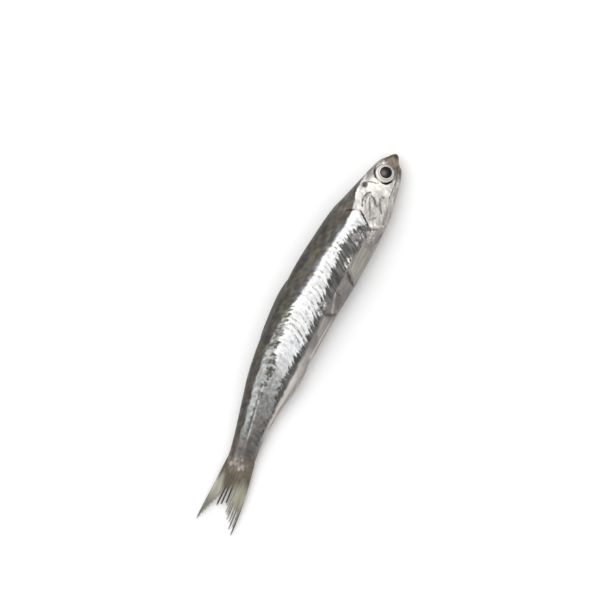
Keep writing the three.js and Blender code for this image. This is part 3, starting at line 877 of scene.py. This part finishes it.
class FishColours(PropertyGroup):
    """Colours that a user would change."""

    flank: colour_property("Flank", "Grey ground of the flank", "#545352")
    back: colour_property("Back", "Dark olive-grey back", "#403d39")
    violet: colour_property("Border of the back", "Bluish border under the back", "#5a5961")
    sheen: colour_property("Pale strip", "Blue-green strip under the back by the tail", "#a2a5a3")
    speckle: colour_property("Speckled strip", "Mottled strip above the silver", "#73726e")
    # The silver band's brightness is partly a painted reflection of the softbox.
    silver: colour_property("Silver band", "Bright mirror of the flank", "#e9eaea")
    belly: colour_property("Belly", "Matt pinkish-grey silver of the belly", "#8a8582")
    head: colour_property("Gill cover", "Silver of the gill cover", "#cecac6")
    cheek: colour_property("Cheek", "Creamy white of the cheek", "#e6e2dc")
    jaw: colour_property("Jaw", "Grey-pink of the lower jaw", "#a39d98")
    snout: colour_property("Snout", "Translucent brown of the snout", "#82776c")
    # Beside real dark lines, this paints the shade in the gill opening and in a hollow of the cover, and the
    # shadows round the eye and along the throat.
    dark: colour_property("Dark lines", "Gill slit, mouth and other lines", "#2b2826")
    # Beside pale rims, this paints the highlights by the eye and along the jaw.
    pale: colour_property("Pale rims", "Rims and highlights of the head", "#f3f0ec")
    # Beside brown marks, this paints the shadows below the eye, in the fold at the hip and under the pectoral
    # fin's tip.
    brown: colour_property("Fin folds", "Brown folds at the fins", "#4f4740")
    fin: colour_property("Fin web", "Pale web of the tail fin", "#bfbdac")
    fin_root: colour_property("Fin root", "Brown web at the root of the tail fin", "#6a6250")
    ray: colour_property("Fin rays", "Rays in the pale web of the tail fin", "#b0ae9b")
    ray_root: colour_property("Ray roots", "Rays at the root of the tail fin", "#5d5545")
    folded_fin: colour_property("Folded fins", "Fins folded on the flanks", "#9b9892")
    iris: colour_property("Iris", "Silver of the iris", "#eeebe6")
    pupil: colour_property("Pupil", "Black of the pupil", "#0b0908")


# Layers of the skin's paint from the bottom up: the tone's attribute and its colour.
SKIN_LAYERS = (
    ("under_line", "#5d5855"),
    ("belly", "belly"),
    ("keel_line", "#c6c3c0"),
    ("pale_rim", "#d3cfcc"),
    # The silver band: the fish's own silver, its brightness partly a painted reflection of the softbox.
    ("silver", "silver"),
    # The dark band under the silver: partly the flank's own darker tone, partly a painted reflection of
    # darker surroundings.
    ("lower", "#4c4b49"),
    ("speckle", "speckle"),
    ("sheen", "sheen"),
    ("over_line", "#4c5050"),
    ("lateral", "#b0afac"),
    ("back", "back"),
    ("olive", "#494a3c"),
    ("rust", "#463c37"),
    ("back_dash", "#2e2d2b"),
    ("violet", "violet"),
    ("tail_skin", "#5c524c"),
    ("scaly", "#8b8988"),
    # Painted shade in the hollows between loose scales.
    ("pits", "#3c3835"),
    # Painted glints on the rims of loose scales.
    ("sparkle", "#dcd9d6"),
    ("root", "#655d4d"),
    ("root_scales", "#b4aaa2"),
    ("head", "head"),
    ("cheek", "cheek"),
    ("jaw", "jaw"),
    ("crown", "#524d49"),
    ("snout", "snout"),
    ("snout_tip", "#3a372a"),
    # Painted glow of light through the translucent snout.
    ("amber", "#b09a7c"),
    # The brown, pale and dark layers carry painted shadows and highlights as well as marks.
    ("brown", "brown"),
    ("pale", "pale"),
    ("dark", "dark"),
)


# Sockets of a colour mix, the span that a noise node mostly covers, and the tints of warm and cool skin.
FACTOR = 0
COLOUR_A = 6
COLOUR_B = 7
COLOUR_MIX = {"data_type": "RGBA", "output": 2}
NOISE_SPAN = {"From Min": 0.3, "From Max": 0.7}
WARM = (1.12, 1.01, 0.84, 1)
COOL = (0.88, 0.99, 1.14, 1)


def fish_skin_material(colours):
    """Wet fish skin: clear slime over silver crystals and dark pigment, so it is mirror-like and patchy."""
    material, add = new_material("wet_fish_skin")
    tones = {
        tone: add("Attribute", output="Fac", attribute_name=tone)
        for tone in ("shade", "cool", *(tone for tone, _ in SKIN_LAYERS))
    }
    colour = tuple(colours.flank)
    for tone, value in SKIN_LAYERS:
        paint = hex_linear(value) if value.startswith("#") else tuple(getattr(colours, value))
        colour = add("Mix", {FACTOR: tones[tone], COLOUR_A: colour, COLOUR_B: paint}, **COLOUR_MIX)
    place_of = add("TexCoord", output="Object")
    # Mottling as fine as the scale pockets, 0.7 mm.
    mottle = add("TexNoise", {"Vector": place_of, "Scale": 1 / (0.7 * MM), "Detail": 2.5, "Roughness": 0.55})
    # A shade of 0.5 leaves the colour as it is; 0 and 1 are the dark and the bright of a streak.
    uneven = add("Math", {0: mottle, 1: MOTTLE_SHARE, 2: tones["shade"]}, operation="MULTIPLY_ADD")
    power = add("Math", {0: uneven, 1: 0.5 + 0.5 * MOTTLE_SHARE}, operation="SUBTRACT")
    gain = add("Math", {0: SHADE_RANGE, 1: power}, operation="POWER")
    shaded = add("VectorMath", {0: colour, "Scale": gain}, operation="SCALE")
    tint = add("Mix", {FACTOR: tones["cool"], COLOUR_A: WARM, COLOUR_B: COOL}, **COLOUR_MIX)
    tinted = add("VectorMath", {0: shaded, 1: tint}, operation="MULTIPLY")
    metal = add("MapRange", {"Value": tones["silver"], "To Min": 0.0, "To Max": 0.5})
    rough = add("MapRange", {"Value": mottle, **NOISE_SPAN, "To Min": 0.34, "To Max": 0.5})
    bump = add("Bump", {"Height": mottle, "Strength": 0.35, "Distance": 0.12 * MM})
    surface = {"Base Color": tinted, "Metallic": metal, "Roughness": rough, "Normal": bump}
    shader = add("BsdfPrincipled", {**surface, "IOR": 1.35, "Coat Weight": 0.15, "Coat Roughness": 0.15})
    add("OutputMaterial", {"Surface": shader})
    return material


# Colours of the iris from the pupil to the rim: share of the eye's radius and colour.
IRIS_RINGS = (
    (0.66, "#f6f5f3"), (0.7, "#f1efed"), (0.745, "#817e7b"), (0.79, "#c9c7c4"), (0.88, "#f4f3f1"),
    (0.97, "#8b8885"),
)


def eye_material(colours):
    """Fresh eye: clear cornea over a silver iris and a black pupil, so it is glassy."""
    material, add = new_material("wet_eye")
    radius, pupil = (add("Attribute", output="Fac", attribute_name=tone) for tone in ("radius", "pupil"))
    rings = add("ValToRGB", {"Fac": radius})
    elements = rings.node.color_ramp.elements
    while len(elements) < len(IRIS_RINGS):
        elements.new(0.5)
    for element, (at, value) in zip(elements, IRIS_RINGS):
        element.position = at
        element.color = hex_linear(value)
    # Flecks of the iris, 0.5 mm.
    place_of = add("TexCoord", output="Object")
    flecks = add("TexNoise", {"Vector": place_of, "Scale": 1 / (0.5 * MM), "Detail": 2.0})
    gain = add("MapRange", {"Value": flecks, **NOISE_SPAN, "To Min": 0.8, "To Max": 1.12})
    iris = add("VectorMath", {0: rings, "Scale": gain}, operation="SCALE")
    tint = {FACTOR: 1.0, COLOUR_A: iris, COLOUR_B: tuple(colours.iris)}
    tinted = add("Mix", tint, blend_type="MULTIPLY", **COLOUR_MIX)
    colour = add("Mix", {FACTOR: pupil, COLOUR_A: tinted, COLOUR_B: tuple(colours.pupil)}, **COLOUR_MIX)
    metal = add("MapRange", {"Value": pupil, "To Min": 0.2, "To Max": 0.0})
    surface = {"Base Color": colour, "Metallic": metal, "Roughness": 0.3, "IOR": 1.376}
    gloss = {"Specular IOR Level": 0.3, "Coat Weight": 0.15, "Coat Roughness": 0.06}
    shader = add("BsdfPrincipled", {**surface, **gloss})
    add("OutputMaterial", {"Surface": shader})
    return material


# Length, width and depth of the fibres of the rays, in mm.
FIBRE_SIZE = (5, 0.35, 2)


def fin_material(name, web_colours, ray_colours, web_alpha):
    """Fin: horny rays in a clear web, so light comes through it and the rays show darker."""
    material, add = new_material(name)
    pale, ray, burnt = (
        add("Attribute", output="Fac", attribute_name=tone) for tone in ("pale", "ray", "burnt")
    )
    place_of = add("TexCoord", output="Object")
    lengthwise = add("Mapping", {"Vector": place_of, "Scale": [1 / (size * MM) for size in FIBRE_SIZE]})
    fibres = add("TexNoise", {"Vector": lengthwise, "Scale": 1.0, "Detail": 2.0})
    web, rays = (
        add("Mix", {FACTOR: pale, COLOUR_A: dull, COLOUR_B: light}, **COLOUR_MIX)
        for dull, light in (web_colours, ray_colours)
    )
    colour = add("Mix", {FACTOR: ray, COLOUR_A: web, COLOUR_B: rays}, **COLOUR_MIX)
    gain = add("MapRange", {"Value": fibres, **NOISE_SPAN, "To Min": 0.72, "To Max": 1.2})
    uneven = add("VectorMath", {0: colour, "Scale": gain}, operation="SCALE")
    browned = add("Mix", {FACTOR: burnt, COLOUR_A: uneven, COLOUR_B: hex_linear("#2f2920")}, **COLOUR_MIX)
    clear = add("MapRange", {"Value": ray, "To Min": web_alpha, "To Max": 1.0})
    bump = add("Bump", {"Height": fibres, "Strength": 0.3, "Distance": 0.08 * MM})
    surface = {"Base Color": browned, "Alpha": clear, "Normal": bump, "Roughness": 0.38, "IOR": 1.4}
    shader = add("BsdfPrincipled", {**surface, "Coat Weight": 0.3, "Coat Roughness": 0.15})
    add("OutputMaterial", {"Surface": shader})
    return material


# Sections of the skin: their spacing on the head, where the trunk's begin, and points in each.
HEAD_STEP = 0.15
HEAD_END = 30
END_GAP = 0.03
UPPER_POINTS = 112
LOWER_POINTS = 72


class ANCHOVY_OT_skin(Operator):
    """Builds the skin of the trunk and the head"""

    bl_idname = "anchovy.skin"
    bl_label = "Trunk and head"

    def execute(self, context):
        step = context.scene.anchovy_sizes.skin_step / MM
        head = np.arange(END_GAP, HEAD_END, HEAD_STEP)
        trunk = np.linspace(HEAD_END, TRUNK_END - END_GAP, int((TRUNK_END - HEAD_END) / step))
        station = np.concatenate([head, trunk])
        turns = even_turns(station, UPPER_POINTS, LOWER_POINTS)
        rings, tones = skin_points(np.repeat(station[:, None], turns.shape[1], axis=1), turns)
        points, faces, uv = loft(rings)
        tones = {tone: loft_values(values, turns.shape[1]) for tone, values in tones.items()}
        material = fish_skin_material(context.scene.anchovy_colours)
        skin = new_piece("fish_skin", points, faces, tones, material, uv)
        place(skin, "skin", FISH_NODE)
        return {"FINISHED"}


# Rings and points of an eye, its flattened front, and the bulge of the cornea over the pupil.
EYE_RINGS = 34
EYE_SIDES = 72
EYE_FLATTENING = 0.85
PUPIL_PLACE = (0.35, -0.15)
CORNEA_BULGE = 0.28
CORNEA_GROOVE = 0.1
# A painted reflection of the softbox in the pupil: its place, its width and how much lighter it makes the
# pupil.
GLARE_PLACE = (-0.35, 0.35)
GLARE_RADIUS = 0.9
GLARE_STRENGTH = 0.19
IRIS_WOBBLE = 0.05


def eyeball(pupil_radius):
    """Points, faces and tones of an eye that looks straight up, round the middle of the eye."""
    across = np.sin(np.linspace(0, np.pi / 2, EYE_RINGS))[1:]
    turn = np.linspace(0, 2 * np.pi, EYE_SIDES, endpoint=False)
    radius, angle = np.meshgrid(across * EYE_RADIUS, turn, indexing="ij")
    edge = EYE_HALF_DEPTH * np.sqrt(np.maximum(1 - (radius / EYE_RADIUS) ** 2, 0))
    u = radius * np.cos(angle)
    v = radius * np.sin(angle)
    from_pupil = np.hypot(u - PUPIL_PLACE[0], v - PUPIL_PLACE[1])
    cornea = CORNEA_BULGE * (1 - ease(from_pupil, 0.2, 2.1)) - CORNEA_GROOVE * bell(from_pupil - 2.3, 0.35)
    front = np.stack([u, v, np.maximum(edge * EYE_FLATTENING + cornea, -0.01)], axis=-1)
    back = np.stack([u, v, -edge], axis=-1)[::-1]
    points, faces, _ = loft(np.concatenate([front, back[1:]]))
    points[-2] = (0, 0, EYE_HALF_DEPTH * EYE_FLATTENING + CORNEA_BULGE)
    points[-1] = (0, 0, -EYE_HALF_DEPTH)
    u = points[:, 0]
    v = points[:, 1]
    from_pupil = np.hypot(u - PUPIL_PLACE[0], v - PUPIL_PLACE[1])
    from_middle = np.hypot(u, v)
    reach = lerp(from_pupil, from_middle, ease(from_middle, 2.2, 3.1)) / EYE_RADIUS
    # The pupil is painted lighter where the softbox's reflection lies.
    glare = GLARE_STRENGTH * bell(np.hypot(u - GLARE_PLACE[0], v - GLARE_PLACE[1]), GLARE_RADIUS)
    tones = {
        "radius": np.clip(reach + IRIS_WOBBLE * (noise("iris", u, v) - 0.5), 0, 1),
        "pupil": (1 - ease(from_pupil, pupil_radius - 0.12, pupil_radius + 0.12)) * (1 - glare),
    }
    return points, faces, tones


class ANCHOVY_OT_eyes(Operator):
    """Builds both eyes, each with a cornea that bulges over the pupil"""

    bl_idname = "anchovy.eyes"
    bl_label = "Eyes"

    def execute(self, context):
        material = eye_material(context.scene.anchovy_colours)
        points, faces, tones = eyeball(context.scene.anchovy_sizes.pupil_radius / MM)
        u, v, rise = points.T
        rise = rise - (EYE_HALF_DEPTH - EYE_PROUD)
        ahead = u * math.cos(EYE_LEAN) + rise * math.sin(EYE_LEAN)
        outward = rise * math.cos(EYE_LEAN) - u * math.sin(EYE_LEAN)
        belly = belly_line(EYE_STATION)
        share = (EYE_HEIGHT - belly) / (back_line(EYE_STATION) - belly)
        relief = head_relief(EYE_STATION, EYE_HEIGHT) * section_profile(share)
        for side, node in ((1, "eye_right"), (-1, "eye_left")):
            surface = mid_plane(EYE_STATION) + side * (half_at(EYE_STATION, share, side) + relief)
            level = surface + side * outward
            placed = np.stack([TOTAL_LENGTH / 2 - EYE_STATION + ahead, EYE_HEIGHT + v, level], axis=-1)
            eye = new_piece(node + "_ball", placed, faces if side > 0 else flipped(faces), tones, material)
            place(eye, "eye", node)
        return {"FINISHED"}


# Tail fin rays: share across the root, station and height of the tip, share webbed to the next ray, and
# how dark the tip is.
TAIL_ROOT = 114.5
TAIL_RAYS = (
    (0.00, 140.0, 2.05, 0.99, 0.5), (0.05, 139.2, 1.75, 0.99, 0.45), (0.10, 137.6, 1.25, 0.98, 0.4),
    (0.15, 136.1, 0.80, 0.98, 0.4), (0.20, 134.6, 0.35, 0.97, 0.35), (0.25, 133.1, -0.10, 0.97, 0.35),
    (0.30, 131.6, -0.60, 0.96, 0.35), (0.35, 129.9, -1.15, 0.90, 0.35), (0.40, 132.9, -2.05, 0.74, 1.0),
    (0.46, 132.0, -3.20, 0.62, 1.0), (0.53, 131.0, -4.55, 0.74, 1.0), (0.59, 131.6, -5.20, 0.84, 0.1),
    (0.65, 133.8, -5.95, 0.82, 0.3), (0.71, 134.4, -6.60, 0.80, 0.2), (0.77, 135.8, -7.25, 0.82, 0.2),
    (0.83, 136.2, -8.30, 0.84, 0.1), (0.88, 138.6, -9.25, 0.84, 0.5), (0.94, 137.4, -10.1, 0.92, 0.1),
    (1.00, 140.0, -10.75, 0.95, 0.7),
)
TAIL_ROOT_EDGES = (1.75, -6.85)
TAIL_FAN_BEND = 0.7
TAIL_CUP = 0.25
TAIL_WEB_ALPHA = 0.88
RAY_STEPS = 26
RAY_SIDES = 8
RAY_FLATTENING = 0.8
RAY_TIP_RADIUS = 0.055

# Rays split into two branches from a share of their length, thinner and set apart by so many mm.
SPLIT_START = 0.4
BRANCH_SHARE = 0.75
BRANCH_SPREAD = 0.2

WEB_ROWS = 22
WEB_COLUMNS = 5
WEB_HOLLOW = 0.12
HALF_WEB = 0.05


def tail_ray_path(ray):
    """Points along the middle of a tail fin ray, as station, height and level."""
    share, tip_station, tip_height = ray[:3]
    station = np.linspace(TAIL_ROOT, tip_station, RAY_STEPS)
    fan = (station - TAIL_ROOT) / (TOTAL_LENGTH - TAIL_ROOT)
    reach = (tip_station - TAIL_ROOT) / (TOTAL_LENGTH - TAIL_ROOT)
    bend = fan * (1 + TAIL_FAN_BEND * (1 - fan)) / (reach * (1 + TAIL_FAN_BEND * (1 - reach)))
    height = lerp(lerp(*TAIL_ROOT_EDGES, share), tip_height, bend)
    level = mid_plane(station) + TAIL_CUP * fan * np.sin(2 * np.pi * share)
    return np.stack([station, height, level], axis=-1)


def fin_paleness(station, share):
    """How pale the tail fin is: brown at its root and in its middle, pale half way and duller at the tips."""
    reach = 4.5 * bell(share - 0.42, 0.14)
    uneven = 0.3 * (noise("fin patches", station, share) - 0.5)
    lobe = lerp(1, 0.62, ease(share, 0.5, 0.65)) * (1 - 0.4 * ease(station, 129, 134))
    return np.clip(lobe * ease(station, 120.5 + reach, 126.5 + reach) + uneven, 0, 1)


def fin_shade(station, share):
    """How dark the web is: grey towards the tips, more so in the upper lobe, and streaked at the root."""
    tips = lerp(0.55, 0.25, ease(share, 0.35, 0.5)) * ease(station, 128.5, 133.5)
    streaks = ease(noise("fin streaks", station, share), 0.4, 0.8) * (1 - ease(station, 122, 127))
    return np.maximum(tips, 0.42 * streaks)


def tube(path, radii):
    """Closed tapered tube of points round a path given as station, height and level."""
    ahead = np.gradient(path, axis=0)
    ahead /= np.linalg.norm(ahead, axis=1)[:, None]
    across = np.stack([-ahead[:, 1], ahead[:, 0], np.zeros(len(path))], axis=-1)
    across /= np.linalg.norm(across, axis=1)[:, None]
    up = RAY_FLATTENING * np.cross(across, ahead)
    turn = np.linspace(0, 2 * np.pi, RAY_SIDES, endpoint=False)[:, None]
    ring = np.cos(turn) * across[:, None, :] + np.sin(turn) * up[:, None, :]
    return path[:, None, :] + radii[:, None, None] * ring


class Parts:
    """Collects closed shapes and their tones into one mesh."""

    def __init__(self):
        self.points = []
        self.faces = []
        self.tones = {"pale": [], "ray": [], "burnt": []}
        self.count = 0

    def add(self, points, faces, **tones):
        """Adds a shape. Its points are given as station, height and level."""
        self.points.append(to_frame(points))
        self.faces += [[int(i) + self.count for i in face] for face in faces]
        for tone, values in self.tones.items():
            values.append(np.broadcast_to(tones.get(tone, 0.0), len(points)))
        self.count += len(points)

    def add_tube(self, path, radii, pale, burnt):
        points, faces, _ = loft(tube(path, radii))
        pale = loft_values(pale, RAY_SIDES)
        self.add(points, flipped(faces), pale=pale, ray=1.0, burnt=loft_values(burnt, RAY_SIDES))

    def add_slab(self, upper, lower, **tones):
        """Thin closed sheet between two grids of station, height and level."""
        grid = upper.shape[:2]
        index = np.arange(grid[0] * grid[1]).reshape(grid)
        below = index.size
        top = face_corners(index)
        faces = [*top.tolist(), *(top[:, [0, 3, 2, 1]] + below).tolist()]
        rim = [*index[:, 0], *index[-1, 1:], *index[-2::-1, -1], *index[0, -2:0:-1]]
        for a, b in zip(rim, rim[1:] + rim[:1]):
            faces.append([b, a, below + a, below + b])
        points = np.concatenate([upper.reshape(-1, 3), lower.reshape(-1, 3)])
        tones = {tone: np.tile(np.broadcast_to(values, grid).ravel(), 2) for tone, values in tones.items()}
        self.add(points, faces, **tones)

    def piece(self, name, material, inside_out=False):
        """Makes the piece. The shapes of a mirrored piece are inside out, and their faces are turned."""
        tones = {tone: np.concatenate(values) for tone, values in self.tones.items()}
        faces = flipped(self.faces) if inside_out else self.faces
        return new_piece(name, np.concatenate(self.points), faces, tones, material)


class ANCHOVY_OT_tail_fin(Operator):
    """Builds the forked tail fin: rays, their split tips and the web between them"""

    bl_idname = "anchovy.tail_fin"
    bl_label = "Tail fin"

    def execute(self, context):
        colours = context.scene.anchovy_colours
        root_radius = context.scene.anchovy_sizes.ray_radius / MM
        web = (tuple(colours.fin_root), tuple(colours.fin))
        rays = (tuple(colours.ray_root), tuple(colours.ray))
        material = fin_material("fin_ray_and_web", web, rays, TAIL_WEB_ALPHA)
        parts = Parts()
        t = np.linspace(0, 1, RAY_STEPS)
        paths = [tail_ray_path(ray) for ray in TAIL_RAYS]
        for (share, _, _, _, dark), path in zip(TAIL_RAYS, paths):
            stout = 0.55 + 1.3 * dark**3
            radii = stout * root_radius * (1 - t) ** 0.6 + RAY_TIP_RADIUS
            pale = fin_paleness(path[:, 0], share)
            burnt = np.maximum(dark * ease(t, 0.45, 0.75), fin_shade(path[:, 0], share) * (1 - t))
            parts.add_tube(path, radii, pale, burnt)
            outer = slice(int(RAY_STEPS * SPLIT_START), None)
            apart = BRANCH_SPREAD * np.clip((t - SPLIT_START) / (1 - SPLIT_START), 0, 1)
            for sign in (-1, 1):
                branch = path + np.outer(sign * apart, (0, 1, 0))
                parts.add_tube(branch[outer], BRANCH_SHARE * radii[outer], pale[outer], burnt[outer])
        across = np.linspace(0, 1, WEB_COLUMNS)
        half = np.array([0, 0, HALF_WEB])
        for ray, path, beyond, other in zip(TAIL_RAYS, paths, TAIL_RAYS[1:], paths[1:]):
            webbed = ray[3]
            hollow = 1 - WEB_HOLLOW * np.sin(np.pi * across) * webbed
            down = np.linspace(0, webbed, WEB_ROWS)[:, None] * hollow
            station = lerp(TAIL_ROOT, min(path[-1, 0], other[-1, 0]), down)
            sides = [[np.interp(station, line[:, 0], line[:, k]) for k in (1, 2)] for line in (path, other)]
            grid = np.stack([station, *lerp(np.array(sides[0]), np.array(sides[1]), across)], axis=-1)
            share = lerp(ray[0], beyond[0], across)
            pale = fin_paleness(station, share)
            parts.add_slab(grid + half, grid - half, pale=pale, burnt=fin_shade(station, share))
        place(parts.piece("tail_fin", material), "skin", FISH_NODE)
        return {"FINISHED"}


# Folded fins on each flank. Edges are shares of the way from the belly to the back, at root and tip.
PECTORAL = {
    "name": "pectoral_fin", "root": 32.4, "tip": 46.2, "upper": (0.225, 0.17), "lower": (0.03, 0.035),
    "rise": 0.5, "rays": 11,
}
PELVIC = {
    "name": "pelvic_fin", "root": 59.4, "tip": 69.2, "upper": (0.17, 0.1), "lower": (0.07, 0.075),
    "rise": 0.4, "rays": 7,
}
FOLDED_ROWS = 40
COLUMNS_A_RAY = 8
FOLDED_WEB_ALPHA = 0.96
FOLDED_RAY_COLOURS = ("#8b867e", "#a5a29b")


def flank_point(station, share, side, proud):
    """Point on the smooth side of the fish, raised by a few tenths, as station, height and level."""
    profile = section_profile(share)
    height = side_height(station, share) + (share - 0.5) * 2 * proud * (1 - profile)
    level = mid_plane(station) + side * (half_at(station, share, side) + proud * np.maximum(profile, 0.35))
    return np.stack([station, height, np.maximum(level, 0.02)], axis=-1)


class ANCHOVY_OT_side_fins(Operator):
    """Builds the pectoral and pelvic fins, folded on both flanks"""

    bl_idname = "anchovy.side_fins"
    bl_label = "Side fins"

    def execute(self, context):
        folded = tuple(context.scene.anchovy_colours.folded_fin)
        ray_colours = [hex_linear(colour) for colour in FOLDED_RAY_COLOURS]
        material = fin_material("folded_fin", (folded, folded), ray_colours, FOLDED_WEB_ALPHA)
        down = np.linspace(0, 1, FOLDED_ROWS)[:, None]
        for fin, (side, word) in itertools.product((PECTORAL, PELVIC), ((1, "right"), (-1, "left"))):
            webs = fin["rays"] - 1
            across = np.linspace(0, 1, COLUMNS_A_RAY * webs + 1)[None, :]
            ray_wave = np.cos(across * webs * 2 * np.pi)
            ragged = 0.05 * (1 - ray_wave) + 0.05 * scatter(np.floor(across * webs + 0.5))
            shorter = ragged + 0.2 * (1 - across) ** 1.5
            station = lerp(fin["root"], lerp(fin["root"], fin["tip"], 1 - shorter), down)
            spread = (station - fin["root"]) / (fin["tip"] - fin["root"])
            share = lerp(lerp(*fin["upper"], spread**2), lerp(*fin["lower"], spread), across)
            fade = np.sin(np.pi * np.minimum(down * 0.9 + 0.1, 1)) ** 0.5
            rim = np.minimum(np.minimum(across, 1 - across) * 9, 1) ** 0.5
            proud = fin["rise"] * (0.25 + 0.75 * fade) * (0.35 + 0.65 * rim) + 0.035 * ray_wave
            proud = lerp(-0.12, proud, ease(down, 0, 0.16 + 0.12 * across))
            outer = flank_point(station, share, side, proud)
            inner = flank_point(station, share, side, -0.35)
            parts = Parts()
            parts.add_slab(outer, inner, pale=down, ray=0.5 + 0.5 * ray_wave)
            piece = parts.piece(f"{fin['name']}_{word}", material, inside_out=side < 0)
            place(piece, "skin", FISH_NODE)
        return {"FINISHED"}


# Fins folded against the middle of the back and of the belly, as in the solid's source.
DORSAL = {
    "name": "dorsal_fin", "root": 54.5, "tip": 76, "height": 0.72, "half": 0.75, "lean": 0.5, "rays": 13,
    "line": back_line, "edge": 1, "colour": "#4f4b46",
}
ANAL = {
    "name": "anal_fin", "root": 77, "tip": 102.5, "height": 0.95, "half": 0.6, "lean": 0.3, "rays": 18,
    "line": belly_line, "edge": -1, "colour": "#9d9791",
}
KEEL_ROWS = 90
KEEL_DEPTH = 1.4
KEEL_RAMP = 0.35
KEEL_LOW = 0.1
KEEL_WEB_ALPHA = 0.97

# Section of such a fin: shares of its height, of its lean and of its half thickness.
KEEL_SECTION = (
    (0, 0, -1), (0.5, 0.25, -0.85), (0.75, 0.5, -0.65), (0.93, 0.85, -0.3), (1, 1, 0), (0.93, 0.9, 0.3),
    (0.75, 0.5, 0.65), (0.5, 0.25, 0.85), (0, 0, 1),
)


class ANCHOVY_OT_middle_fins(Operator):
    """Builds the dorsal and anal fins, folded against the back and the belly"""

    bl_idname = "anchovy.middle_fins"
    bl_label = "Dorsal and anal fins"

    def execute(self, context):
        t = np.linspace(0, 1, KEEL_ROWS)
        for fin in (DORSAL, ANAL):
            paints = (hex_linear(fin["colour"]),) * 2
            material = fin_material(fin["name"] + "_rays", paints, paints, KEEL_WEB_ALPHA)
            station = lerp(fin["root"], fin["tip"], t)
            notch = 0.12 * np.abs(((t * fin["rays"]) % 1) - 0.5)
            raised = np.sin(np.pi / 2 * np.minimum(t / KEEL_RAMP, 1)) * (1 - t**3)
            height = fin["height"] * raised * (1 - notch) + KEEL_LOW
            half = fin["half"] * (1 - 0.6 * t)
            foot = fin["line"](station) - fin["edge"] * KEEL_DEPTH
            rim = fin["line"](station) + fin["edge"] * height
            sides = []
            for up, over, out in KEEL_SECTION:
                level = mid_plane(station) + over * fin["lean"] * height + out * half
                sides.append(np.stack([station, lerp(foot, rim, up), level], axis=-1))
            points, faces, _ = loft(np.stack(sides, axis=1))
            ray = 0.5 + 0.5 * np.cos(t * fin["rays"] * 2 * np.pi)
            pale, rays = (loft_values(values, len(KEEL_SECTION)) for values in (t, ray))
            parts = Parts()
            parts.add(points, faces, pale=pale, ray=rays)
            place(parts.piece(fin["name"], material, inside_out=fin["edge"] < 0), "skin", FISH_NODE)
        return {"FINISHED"}


class ANCHOVY_OT_stage(Operator):
    """Builds the pale floor, the soft studio light and the camera"""

    bl_idname = "anchovy.stage"
    bl_label = "Stage"

    def execute(self, context):
        scene = context.scene
        # The scene's plain view keeps white as white, as in a photograph on a light table.
        scene.view_settings.view_transform = "Standard"
        self.add_floor(scene)
        world = bpy.data.worlds.new("studio")
        scene.world = world
        world.use_nodes = True
        world.node_tree.nodes.clear()
        sky = add_node(world.node_tree, "Background", {"Color": (1, 1, 1, 1), "Strength": SKY_STRENGTH})
        add_node(world.node_tree, "OutputWorld", {"Surface": sky})
        target = Vector(VIEW_TARGET) * MM
        self.add_light(scene, target)
        self.add_camera(scene, target)
        return {"FINISHED"}

    def add_floor(self, scene):
        half = scene.anchovy_sizes.floor_size / 2
        corners = [(x * half, y * half, FLOOR_LEVEL * MM) for x, y in ((-1, -1), (1, -1), (1, 1), (-1, 1))]
        mesh = bpy.data.meshes.new("floor")
        mesh.from_pydata(corners, [], [(0, 1, 2, 3)])
        board, add = new_material("painted_board")
        tint = add("MapRange", {"Value": add("TexNoise", {"Scale": 400.0}), "To Min": 0.95, "To Max": 0.97})
        add("OutputMaterial", {"Surface": add("BsdfPrincipled", {"Base Color": tint, "Roughness": 0.7})})
        mesh.materials.append(board)
        floor = bpy.data.objects.new("floor", mesh)
        scene.collection.objects.link(floor)

    def add_light(self, scene, target):
        data = bpy.data.lights.new("key_softbox", "AREA")
        data.shape = "SQUARE"
        data.size = LIGHT_SIZE
        data.energy = LIGHT_POWER
        lamp = bpy.data.objects.new("key_softbox", data)
        towards = Vector(LIGHT_DIRECTION).normalized()
        lamp.location = target + towards * LIGHT_DISTANCE
        lamp.rotation_mode = "QUATERNION"
        lamp.rotation_quaternion = towards.to_track_quat("Z", "Y")
        scene.collection.objects.link(lamp)

    def add_camera(self, scene, target):
        azimuth = math.radians(VIEW_AZIMUTH)
        elevation = math.radians(VIEW_ELEVATION)
        flat = math.cos(elevation)
        away = Vector((math.sin(azimuth) * flat, -math.cos(azimuth) * flat, math.sin(elevation)))
        right = Vector((math.cos(azimuth), math.sin(azimuth), 0))
        data = bpy.data.cameras.new("camera")
        data.lens = LENS
        data.clip_start = 0.01
        data.clip_end = 20
        camera = bpy.data.objects.new("camera", data)
        turned = Matrix((right, away.cross(right), away)).transposed().to_4x4()
        camera.matrix_world = Matrix.Translation(target + away * VIEW_DISTANCE * MM) @ turned
        scene.collection.objects.link(camera)
        scene.camera = camera


OPERATORS = (
    ANCHOVY_OT_skin,
    ANCHOVY_OT_eyes,
    ANCHOVY_OT_tail_fin,
    ANCHOVY_OT_side_fins,
    ANCHOVY_OT_middle_fins,
    ANCHOVY_OT_stage,
)


class ANCHOVY_PT_panel(Panel):
    """Lists the pieces of the fish, their sizes and their colours"""

    bl_idname = "ANCHOVY_PT_panel"
    bl_label = "Fresh anchovy"
    bl_space_type = "VIEW_3D"
    bl_region_type = "UI"
    bl_category = "Anchovy"

    def draw(self, context):
        layout = self.layout
        for operator in OPERATORS:
            layout.operator(operator.bl_idname)
        for group in (context.scene.anchovy_sizes, context.scene.anchovy_colours):
            for name in group.__annotations__:
                layout.prop(group, name)


CLASSES = (FishSizes, FishColours, *OPERATORS, ANCHOVY_PT_panel)


def register():
    for cls in CLASSES:
        bpy.utils.register_class(cls)
    bpy.types.Scene.anchovy_sizes = PointerProperty(type=FishSizes)
    bpy.types.Scene.anchovy_colours = PointerProperty(type=FishColours)


def unregister():
    del bpy.types.Scene.anchovy_colours
    del bpy.types.Scene.anchovy_sizes
    for cls in reversed(CLASSES):
        bpy.utils.unregister_class(cls)


def main():
    register()
    for operator in OPERATORS:
        group, name = operator.bl_idname.split(".")
        getattr(getattr(bpy.ops, group), name)()


if __name__ == "__main__":
    main()
